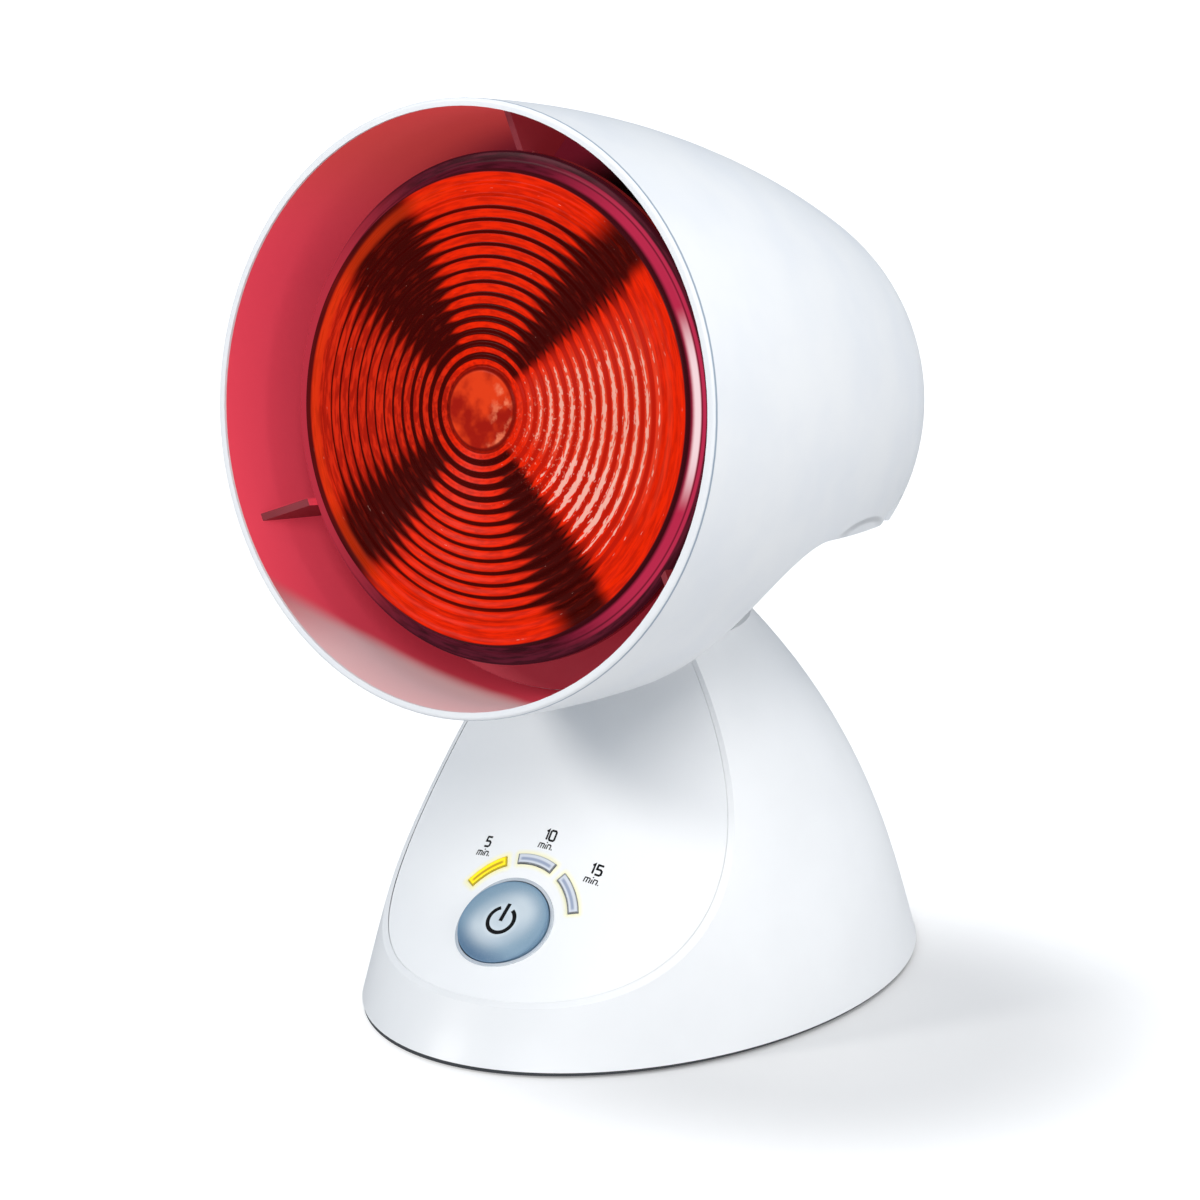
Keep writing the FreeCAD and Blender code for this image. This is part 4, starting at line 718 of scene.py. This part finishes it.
# %% The four sectors and the dark lines
right_sector = sector(0, 42, 7)
left_sector = glow.times(sector(184, 20, 21), 0.84)
lit = glow.larger(sector(92, 17, 22), left_sector, sector(-93, 17, 22), right_sector)
lit = glow.larger(lit, glow.times(glow.rise_mm(radius, 24, 14), 0.8))
lined = zone(11.8, 60.5, 3.0)
light = glow.minus(glow.times(lit, 1.5), glow.times(groove, lined))

flame = glow.blend(glow.rise(drawn, 0.35, 0.68), tint(244, 40, 2), tint(204, 30, 4))
left_flame = glow.blend(glow.rise(drawn, 0.4, 0.6), tint(214, 42, 16), tint(168, 26, 10))
flame = glow.blend(sector(182, 34, 16), flame, left_flame)
ember = glow.blend(glow.rise(drawn, 0.5, 0.72), tint(26, 3, 1), tint(84, 12, 3))
colour = glow.blend(glow.rise(light, 0.0, 0.75), ember, flame)

swell = glow.times(glow.rise_mm(radius, 38, 20), glow.without(right_sector))
line_start = glow.minus(0.74, glow.times(swell, 0.24))
line = glow.rise(groove, glow.minus(line_start, 0.16), glow.plus(line_start, 0.02))
dark_line = glow.blend(right_sector, tint(20, 1, 0), tint(190, 26, 8))
colour = over(glow.times(line, lined), colour, dark_line, 0.97)
print("sectors and lines are in")

# %% [markdown]
# ## Pale streaks
#
# On the right, room light breaks on the prisms into short pale streaks. As true reflections
# they would depend on the set that the lamp stands in, so they are painted too: a soft wash,
# roughened by the fine lines and taken away in the grooves, which breaks it into streaks.

# %% The pale streaks on the right, and the outer zone
def streaks(where, amount, groove_cost):
    """Pale lines where the wash is strong, breaking up where it fades and in the grooves."""
    rough = glow.times(glow.minus(ripples, 0.5), amount)
    level = glow.minus(glow.plus(where, rough), glow.times(groove, groove_cost))
    return glow.rise(level, 0.34, 0.54)


wash = glow.times(sector(6, 20, 17), zone(18, 60, 8))
colour = over(glow.times(wash, glow.rise(groove, 0.9, 0.3)), colour, tint(232, 100, 70), 0.6)
colour = over(streaks(glow.times(wash, 0.86), 2.1, 1.1), colour, tint(246, 186, 168), 0.86)
low_wash = glow.times(sector(-25, 13, 10), zone(28, 57, 9))
colour = over(streaks(low_wash, 1.9, 1.05), colour, tint(252, 198, 182), 0.85)
dots = glow.times(glow.rise(sparkle, 0.60, 0.70), glow.times(sector(-14, 26, 12), zone(14, 34, 6)))
colour = over(dots, colour, tint(255, 186, 156), 0.4)
outer_left = glow.times(zone(63.5, 67.0, 0.8), sector(180, 60, 20))
colour = over(outer_left, colour, tint(232, 60, 14), 0.5)
print("streaks and outer zone are in")

# %% [markdown]
# ## The bull's eye
#
# The smooth middle of the glass shows the cloudy bowl behind it, with a painted highlight on its
# right. It could be clear glass over a modelled bowl, but a cloudy noise reads the same and stays
# calm in a render. A dark ring closes it off from the first prism.

# %% The bull's eye
eye_colour = glow.blend(glow.rise(mottle, 0.36, 0.62), tint(158, 26, 14), tint(232, 66, 26))
# painted highlight on the right of the bull's eye
eye_light = glow.rise(glow.noise(point, 3.5, 3.0), 0.5, 0.75)
eye_right = glow.times(glow.rise_mm(across, 1, 7), eye_light)
eye_colour = glow.blend(eye_right, eye_colour, tint(250, 138, 100))
colour = over(glow.rise_mm(radius, 12.0, 10.8), colour, eye_colour)
colour = over(zone(11.2, 12.2, 0.35), colour, tint(92, 10, 6), 0.8)
print("the bull's eye is", BULL_EYE * 2, "mm across")

# %% [markdown]
# ## The edge and the flange
#
# The glass ends in a dark edge and a smooth flange that the ribs hold. The flange is clear
# red glass: a painted reflection of the red-lit wall makes it rose on its right, and on its left it
# melts into the wall. It could be real clear glass, which renders slowly and noisily. Here each
# ring is a zone between two radii, and the one painted highlight is a bright line where the flange's corner catches
# the light.

# %% The edge and the flange
edge_line = glow.rise_mm(radius, 68.1, 68.6)
colour = over(edge_line, colour, tint(40, 8, 12))
beside_wall = sector(186, 42, 26)
flange = glow.blend(glow.rise(drawn, 0.4, 0.65), tint(78, 20, 36), tint(38, 9, 18))
# on its left the flange takes the painted red light of the wall beside it
flange = glow.blend(beside_wall, flange, tint(184, 50, 66))
colour = over(glow.rise_mm(radius, 69.1, 69.5), colour, flange)
# painted reflection of the red-lit wall on the flange's right
rose = glow.times(zone(69.4, 72.4, 0.3), sector(10, 62, 18))
colour = over(rose, colour, tint(190, 44, 78))
# painted highlight where the flange's corner catches the light
bright_line = glow.times(zone(69.6, 70.8, 0.25), sector(8, 16, 9))
colour = over(bright_line, colour, tint(255, 226, 230))
colour = over(zone(70.9, 71.3, 0.2), colour, tint(70, 10, 26), 0.8)
outer_edge = glow.times(glow.rise_mm(radius, 73.6, 74.1), glow.without(beside_wall))
colour = over(outer_edge, colour, tint(44, 10, 20))
left_line = glow.times(zone(66.9, 69.2, 0.35), beside_wall)
colour = over(left_line, colour, tint(46, 9, 14), 0.95)
print("the flange is", FLANGE_EDGE * 2, "mm across")

# %% Put the glow on the glass
LIT_STRENGTH = 0.92
glow.set("Base Color", glow.blend(edge_line, tint(60, 2, 1), tint(50, 12, 20)))
glow.shine(colour, LIT_STRENGTH)
glow.relief(drawn, 0.015)
front_glass.data.materials.append(glow.material)
print("the front glass is dressed with", glow.material.name)

# %% [markdown]
# ## The bulb behind the glass
#
# The bulb is blown red glass, silvered inside. Glass over a mirror would be two meshes, but
# only its dark outside shows, through the gap beside the glass. So one half-metallic red with
# a clear coat and a slow cloud in it does for both.

# %% The silvered bulb behind the glass
bowl = Finish("silvered_red_bulb", Metallic=0.4, Coat_Weight=0.5)
cloud = bowl.noise(bowl.place(), 16, 3.0)
bowl.set("Base Color", bowl.blend(cloud, tint(112, 18, 20), tint(70, 10, 16)))
bowl.set("Roughness", bowl.rise(cloud, -0.6, 3.0))
bowl.relief(cloud, 0.05)
give(bowl, "lamp_bulb")
print("the bulb is dressed with", bowl.material.name)

# %% [markdown]
# ## The control face
#
# The face is a whiter moulding with a satin skin, set into the base, so no lamp draws a hard
# streak across its hollow. Three timer windows lie in an arc over the button, and the light
# in them spills a soft pale yellow halo onto the face. A hidden light could cast it, but the
# halo is written as a distance from each window's outline, so it hugs the windows exactly.

# %% How far a point lies from a timer window
WINDOW_INNER = 20.4
WINDOW_OUTER = 23.6
WINDOW_RADIUS = (WINDOW_INNER + WINDOW_OUTER) / 2
WINDOW_MIDDLE = 88.0
WINDOW_STEP = 45.5
WINDOW_HALF = 17.5


def window_distances(finish, point, middle):
    """Across the window's width and along its arc: how far a point lies beyond its middle, in mm."""
    right, up, _ = finish.axes(point)
    reach = finish.times(finish.length(right, up), 1000.0)
    beyond = finish.size_of(finish.minus(finish.reckon("ARCTAN2", up, right), math.radians(middle)))
    return finish.minus(reach, WINDOW_RADIUS), finish.times(beyond, WINDOW_RADIUS)


print("the windows lie", WINDOW_RADIUS, "mm from the button's middle")

# %% The face with its halos
HALO_START = 0.2


def halo(finish, point, middle, spread):
    """1 at a window's outline, fading to 0 at spread millimetres from it."""
    across, along = window_distances(finish, point, middle)
    half_width = (WINDOW_OUTER - WINDOW_INNER) / 2
    half_arc = math.radians(WINDOW_HALF) * WINDOW_RADIUS
    side = finish.larger(finish.minus(finish.size_of(across), half_width), 0.0)
    end = finish.larger(finish.minus(along, half_arc), 0.0)
    return finish.rise(finish.length(side, end), spread, HALO_START)


face = moulding("control_face_satin", tint(247, 248, 249), (0.5, 0.58), 9.0, 0.004, 0.006,
                IOR=1.45, Specular_IOR_Level=0.3)
spot = face.place(face_frame)
under = face.shader.inputs["Base Color"].links[0].from_socket
HALO = tint(255, 249, 196)
for step, strength, spread in ((1, 0.95, 2.4), (0, 0.7, 2.0), (-1, 0.7, 2.0)):
    share = face.times(halo(face, spot, WINDOW_MIDDLE + WINDOW_STEP * step, spread), strength)
    under = face.blend(share, under, HALO)
face.set("Base Color", under)
give(face, "control_panel")
print("the face is dressed with", face.material.name)

# %% [markdown]
# ## The timer windows
#
# Each window is a clear diffuser with a light guide under it. The lit one is yellow and the
# others are silvery, with a faint painted glow. Glass over a modelled guide would be too small to
# see, so shade along the edge and a soft line through the middle are painted, from the same two distances as the halo.

# %% The three windows
def window_finish(name, middle, body, core, edge, glow_strength):
    """A window of one body colour, with a core line and painted shade along its edge; its limits are in mm."""
    finish = Finish(name, Roughness=0.18, Coat_Weight=0.5, Coat_Roughness=0.05)
    spot = finish.place(face_frame)
    across, along = window_distances(finish, spot, middle)
    core_line = finish.times(finish.rise(finish.size_of(across), 0.75, 0.2), finish.rise(along, 6.2, 5.0))
    colour = finish.blend(finish.times(core_line, 0.8), body, core)
    # painted shade along the window's edges, broken by a fine grain
    lower_edge = finish.rise(across, -1.0, -1.3)
    end_edge = finish.rise(along, 6.1, 6.5)
    upper_edge = finish.times(finish.rise(across, 1.25, 1.5), 0.6)
    rim = finish.larger(lower_edge, end_edge, upper_edge)
    grain = finish.noise(spot, 0.8)
    colour = finish.blend(finish.times(rim, finish.rise(grain, -0.4, 0.6)), colour, edge)
    finish.set("Base Color", colour)
    finish.shine(colour, glow_strength)
    finish.relief(grain, 0.01)
    return finish


SILVER = (tint(216, 221, 230), tint(138, 152, 182), tint(112, 116, 120))
YELLOW = (tint(255, 226, 16), tint(158, 122, 0), tint(170, 152, 20))
# the lit window glows with the light under it; the unlit ones get a faint painted glow
WINDOWS = (
    ("lit_window", 1, YELLOW, 0.35, "indicator_window_five"),
    ("unlit_window_middle", 0, SILVER, 0.02, "indicator_window_ten"),
    ("unlit_window_right", -1, SILVER, 0.02, "indicator_window_fifteen"),
)
for name, step, colours, strength, part in WINDOWS:
    give(window_finish(name, WINDOW_MIDDLE + WINDOW_STEP * step, *colours, strength), part)
print("the three windows are dressed")

# %% [markdown]
# ## The button
#
# The start button wears a blue pearl paint under clear lacquer, with painted light on its dome:
# a pale sheen across the middle, a mid blue towards the edge and painted shade at its lower
# side. Real flakes would be far too many, so a very fine noise gives them. The colour is laid
# over the oval as a share of its half axes. A bright ring frames it, like thin vacuum-plated trim.

# %% Paint the button and its trim ring
HALF_WIDTH = 14.9
HALF_LENGTH = 14.2
SIGN_RADIUS = 0.3  # as a share of the button
pearl = Finish("pearl_blue_lacquer", Metallic=0.1, Coat_Weight=0.2, Coat_Roughness=0.35)
spot = pearl.place(face_frame)
right, up, _ = pearl.axes(spot)
share_x = pearl.times(right, 1000 / HALF_WIDTH)
share_y = pearl.times(up, 1000 / HALF_LENGTH)
reach = pearl.length(share_x, share_y)
across_way = pearl.size_of(pearl.minus(pearl.times(share_x, 0.75), pearl.times(share_y, 0.65)))
lower = pearl.plus(pearl.times(share_y, -0.85), pearl.times(share_x, -0.3))
around_sign = pearl.rise(pearl.size_of(pearl.minus(reach, SIGN_RADIUS)), 0.16, 0.06)
flakes = pearl.noise(spot, 0.25, 1.0)

# painted sheen: a pale band across the middle of the dome
colour = pearl.blend(pearl.rise(across_way, 0.1, 0.9), tint(206, 218, 226), tint(136, 164, 184))
# painted shade: darker towards the edge
colour = pearl.blend(pearl.rise(reach, 0.55, 1.0), colour, tint(130, 160, 182))
# painted shade: a deeper blue at the lower side
colour = pearl.blend(pearl.rise(lower, 0.3, 0.95), colour, tint(66, 104, 138))
# painted shade at the very edge of the dome
colour = pearl.blend(pearl.times(pearl.rise(reach, 0.93, 1.0), 0.5), colour, tint(92, 128, 160))
colour = pearl.blend(pearl.times(around_sign, 0.35), colour, tint(226, 236, 242))
colour = pearl.blend(pearl.times(pearl.rise(flakes, 0.5, 0.8), 0.12), colour, tint(240, 246, 250))
pearl.set("Base Color", colour)
pearl.set("Roughness", pearl.rise(flakes, -1.6, 2.6))
pearl.relief(pearl.noise(spot, 1.5), 0.003)
give(pearl, "power_button")

trim = moulding("bright_trim", tint(226, 232, 238), (0.1, 0.18), 2.0, 0.002, 0.02, Metallic=0.45)
give(trim, "button_bezel")
print("button and trim ring are dressed")

# %% [markdown]
# ## Printed marks
#
# The numbers over the windows, the word for minutes and the start symbol are pad-printed
# ink, a film a few hundredths of a millimetre thick. A font would bring someone's lettering,
# so the marks are drawn as strokes with a pen of one width. Each stroke becomes a ribbon
# whose points are laid onto the curved surface under it, with a side wall down to it.

# %% Where the two printed surfaces lie
FACE_HOLLOW = 154.9
FACE_CROWN = 128.9
BUTTON_CROWN = 90.0
BUTTON_PROUD = 2.1


def on_face(right, up):
    """Height of the control face over its tangent plane, in millimetres."""
    ring = FACE_HOLLOW + FACE_CROWN - math.sqrt(FACE_CROWN ** 2 - right ** 2)
    return FACE_HOLLOW - math.sqrt(ring ** 2 - up ** 2)


def on_button(right, up):
    """Height of the button's crown over the same plane."""
    return BUTTON_PROUD - BUTTON_CROWN + math.sqrt(BUTTON_CROWN ** 2 - right ** 2 - up ** 2)


print("face height at the first number:", round(on_face(-20, 25), 3), "mm")


# %% The two sides of a pen stroke
def ribbon_edges(points, width, closed):
    """The two sides of a stroke, with mitred corners."""
    count = len(points)
    left, right = [], []
    for index, point in enumerate(points):
        ways = []
        if index or closed:
            ways.append((point - points[index - 1]).normalized())
        if index < count - 1 or closed:
            ways.append((points[(index + 1) % count] - point).normalized())
        way = sum(ways, Vector((0, 0))).normalized()
        side = Vector((-way.y, way.x))
        stretch = width / 2 / max(0.5, side.dot(Vector((-ways[0].y, ways[0].x))))
        left.append(point + side * stretch)
        right.append(point - side * stretch)
    return left, right


print("a straight stroke's sides:", ribbon_edges([Vector((0, 0)), Vector((0, 1))], 0.6, False))

# %% Lay the strokes onto a surface
INK_THICK = 0.05
INK_SUNK = -0.03  # the side walls go this far into the plastic, so that no gap shows


def print_strokes(name, strokes, surface, body):
    """Strokes are (points, width, closed); surface gives the height under a point."""
    shape = bmesh.new()
    for points, width, closed in strokes:
        sides = ribbon_edges([Vector(point) for point in points], width, closed)
        rows = []
        for side, lift in ((0, INK_SUNK), (0, INK_THICK), (1, INK_THICK), (1, INK_SUNK)):
            row = []
            for point in sides[side]:
                spot = Vector((point.x, point.y, surface(point.x, point.y) + lift)) * MM
                row.append(shape.verts.new(face_frame @ spot))
            rows.append(row)
        count = len(points)
        for first, second in zip(rows, rows[1:]):
            for index in range(count if closed else count - 1):
                ahead = (index + 1) % count
                shape.faces.new((first[index], first[ahead], second[ahead], second[index]))
        if not closed:
            for index in (0, -1):
                shape.faces.new([row[index] for row in rows])
    bmesh.ops.recalc_face_normals(shape, faces=shape.faces)
    piece = stood(name, shape)
    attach(piece, body)
    return piece


print("the ink is", INK_THICK, "mm thick")

# %% [markdown]
# ## Drawing the signs
#
# Each sign is drawn once in a box one unit high, as the path that a pen would take, and then
# scaled and moved into place. Outlines of the signs would need filling and holes. A path with
# a pen width needs neither, and keeps every stroke equally bold.

# %% The pen strokes of each sign
SIGNS = {
    "0": [([(0.12, 0), (0.5, 0), (0.62, 0.12), (0.62, 0.88), (0.5, 1), (0.12, 1), (0, 0.88), (0, 0.12)], True)],
    "1": [([(0, 0.82), (0.2, 1), (0.2, 0)], False)],
    "5": [([(0.64, 1), (0.08, 1), (0.04, 0.56), (0.46, 0.56), (0.62, 0.44), (0.62, 0.12), (0.48, 0), (0, 0)], False)],
    "m": [([(0, 0), (0, 1), (1.0, 1), (1.16, 0.84), (1.16, 0)], False), ([(0.58, 1), (0.58, 0)], False)],
    "i": [([(0, 0), (0, 0.92)], False), ([(0, 1.26), (0, 1.5)], False)],
    "n": [([(0, 0), (0, 1), (0.6, 1), (0.76, 0.84), (0.76, 0)], False)],
    ".": [([(0, 0), (0, 0.24)], False)],
}
SIGN_WIDTH = {"0": 0.62, "1": 0.2, "5": 0.64, "m": 1.16, "i": 0.0, "n": 0.76, ".": 0.0}


def written(text, middle, height, pen, gap, slant=0.0):
    """The strokes of a short text centred on a point of the face plane."""
    total = sum(SIGN_WIDTH[sign] * height for sign in text) + gap * (len(text) - 1)
    start = middle[0] - total / 2
    strokes = []
    for sign in text:
        for points, closed in SIGNS[sign]:
            moved = [
                (start + (x + slant * (y - 0.5)) * height, middle[1] + (y - 0.5) * height) for x, y in points
            ]
            strokes.append((moved, pen, closed))
        start += SIGN_WIDTH[sign] * height + gap
    return strokes


print("signs drawn:", " ".join(SIGNS))

# %% The timer marks
DIGIT = {"height": 3.1, "pen": 0.62, "gap": 0.88}
MINUTE = {"height": 1.5, "pen": 0.36, "gap": 0.66, "slant": 0.12}
DIGITS = (("5", (-19.8, 24.9)), ("10", (1.8, 30.6)), ("15", (21.1, 24.5)))
MINUTES = ((-19.9, 21.0), (1.5, 26.9), (20.9, 20.6))
marks = []
for text, middle in DIGITS:
    marks += written(text, middle, **DIGIT)
for middle in MINUTES:
    marks += written("min.", middle, **MINUTE)
timer_marks = print_strokes("timer_marks", marks, on_face, "base")
print(timer_marks.name, len(timer_marks.data.polygons), "faces")

# %% The start symbol on the button
SYMBOL_RADIUS = 4.4
SYMBOL_PEN = 1.25
OPEN_HALF = 29  # half of the opening at the top, in degrees
ARC_STEPS = 40
arc = []
for step in range(ARC_STEPS + 1):
    angle = math.radians(90 + OPEN_HALF + (360 - 2 * OPEN_HALF) * step / ARC_STEPS)
    arc.append((SYMBOL_RADIUS * math.cos(angle), SYMBOL_RADIUS * math.sin(angle)))
bar = [(0, -0.4), (0, 2.8), (0, 5.9)]
symbol = [(arc, SYMBOL_PEN, False), (bar, SYMBOL_PEN, False)]
power_mark = print_strokes("start_symbol", symbol, on_button, "button")
print(power_mark.name, len(power_mark.data.polygons), "faces")

# %% [markdown]
# ## The ink
#
# Printing ink dries matt and nearly black. A flat black would do at this size, but ink isn't
# quite even, so it is the moulding function once more, with a fine skin and little shine.

# %% The ink
ink = moulding("printed_ink", tint(14, 14, 17), (0.6, 0.75), 0.3, 0.004, 0.1, Specular_IOR_Level=0.15)
for piece in (timer_marks, power_mark):
    piece.data.materials.append(ink.material)
print("marks printed with", ink.material.name)

# %% [markdown]
# ## The floor
#
# The set is a plain studio with a pale paper floor. To look white it could be lit brighter,
# but that would wash out the lamp as well. So the floor is lifted to white only where the
# camera sees it directly. It is lifted less close to the base, so the lamp's soft shadow
# stays on it.

# %% The floor
FLOOR_HALF = 6.0
FLOOR_SQUARES = 24
UNDER_LAMP = (0.075, -0.01, 0)
LIFT_UNDER, LIFT_NEAR, LIFT_FAR = 0.15, 0.6, 0.4
shape = bmesh.new()
bmesh.ops.create_grid(shape, x_segments=FLOOR_SQUARES, y_segments=FLOOR_SQUARES, size=FLOOR_HALF)
floor = stood("studio_floor", shape)
paper = Finish("pale_paper", Roughness=0.9, Specular_IOR_Level=0.1)
fibre = paper.noise(paper.place(), 60, 3.0)
paper.set("Base Color", paper.blend(fibre, tint(200, 200, 201), tint(196, 197, 198)))
direct = paper.node("ShaderNodeLightPath", {}).outputs["Is Camera Ray"]
right, up, _ = paper.axes(paper.place(Matrix.Translation(UNDER_LAMP)))
away = paper.length(right, up)
near_light = paper.times(paper.rise(away, 0.05, 0.165), LIFT_NEAR)
far_light = paper.times(paper.rise(away, 0.4, 1.6), LIFT_FAR)
lift = paper.plus(paper.plus(near_light, far_light), LIFT_UNDER)
paper.shine(paper.blend(direct, NO_LIGHT, FULL_WHITE), lift)
floor.data.materials.append(paper.material)
print("floor", floor.dimensions[:2])

# %% [markdown]
# ## The sky
#
# Around the set is an even sky with a little blue in it, so the shaded sides of the white
# plastic turn cool. A dome of lamps could do that, but a sky is one colour and renders
# faster. Where the camera sees it, directly or through glass, it is plain white.

# %% The sky
SKY_BLUE = (0.265, 0.325, 0.395, 1)
world = bpy.data.worlds.new("pale_sky")
bpy.context.scene.world = world
world.use_nodes = True
sky = Tree(world.node_tree)
backdrop = sky.tree.nodes["Background"]
light_path = sky.node("ShaderNodeLightPath", {}).outputs
seen = sky.larger(light_path["Is Camera Ray"], light_path["Is Transmission Ray"])
sky.feed(backdrop.inputs["Color"], sky.blend(seen, SKY_BLUE, FULL_WHITE))
backdrop.inputs["Strength"].default_value = 1.0
print("sky:", world.name)

# %% [markdown]
# ## The lamps of the studio
#
# One bright lamp would leave the shaded side dark, so there are four soft ones. The small key
# lamp stands low on the left and throws the head's shadow on the control face. The others
# come from the right, the side and above, and keep the white sides open. All are discs, so
# their shadows have an even, soft edge.

# %% Four soft lamps
LOOK_AT = Vector((0, 0, 0.15))
KEY_LIGHT = (1.0, 0.965, 0.92)
WARM_LIGHT = (1.0, 0.965, 0.925)
STUDIO_LAMPS = (
    # name, place, width in metres, watts, colour
    ("key_lamp", (-1.15, -1.6, 1.1), 0.4, 16.5, KEY_LIGHT),
    ("fill_lamp", (1.0, -1.6, 1.5), 1.0, 17.5, WARM_LIGHT),
    ("side_lamp", (2.0, 0.1, 1.0), 1.2, 17.0, WARM_LIGHT),
    ("top_lamp", (0.5, 0.5, 2.2), 1.2, 15.5, WARM_LIGHT),
)
for name, place, width, watts, light_colour in STUDIO_LAMPS:
    lamp = bpy.data.lights.new(name, "AREA")
    lamp.shape = "DISK"
    lamp.size = width
    lamp.energy = watts
    lamp.color = light_colour
    stand = bpy.data.objects.new(name, lamp)
    bpy.context.collection.objects.link(stand)
    stand.location = place
    stand.rotation_euler = (LOOK_AT - Vector(place)).to_track_quat("-Z", "Y").to_euler()
print("lamps:", [row[0] for row in STUDIO_LAMPS])

# %% [markdown]
# ## The camera
#
# A camera close by makes near things large, which suits a room but not a product. This one
# stands far off with a long lens, which keeps the shapes calm. The lens is worked out from a
# focal length counted in pixels of a square frame.

# %% The camera
FOCAL_PIXELS = 4864.99
FRAME_WIDTH = 1200
CAMERA_PLACE = Vector((0.833065, -1.155083, 0.535861))
CAMERA_AIM = Vector((-0.01942, 0.00501, 0.11461))
camera_data = bpy.data.cameras.new("camera")
camera_data.sensor_width = 36.0
camera_data.lens = FOCAL_PIXELS / FRAME_WIDTH * camera_data.sensor_width
camera_data.clip_start = 0.05
camera = bpy.data.objects.new("camera", camera_data)
bpy.context.collection.objects.link(camera)
camera.location = CAMERA_PLACE
camera.rotation_euler = (CAMERA_AIM - CAMERA_PLACE).to_track_quat("-Z", "Y").to_euler()
bpy.context.scene.camera = camera
bpy.context.scene.view_settings.view_transform = "Standard"
print("lens", round(camera_data.lens, 2), "mm")

# %% [markdown]
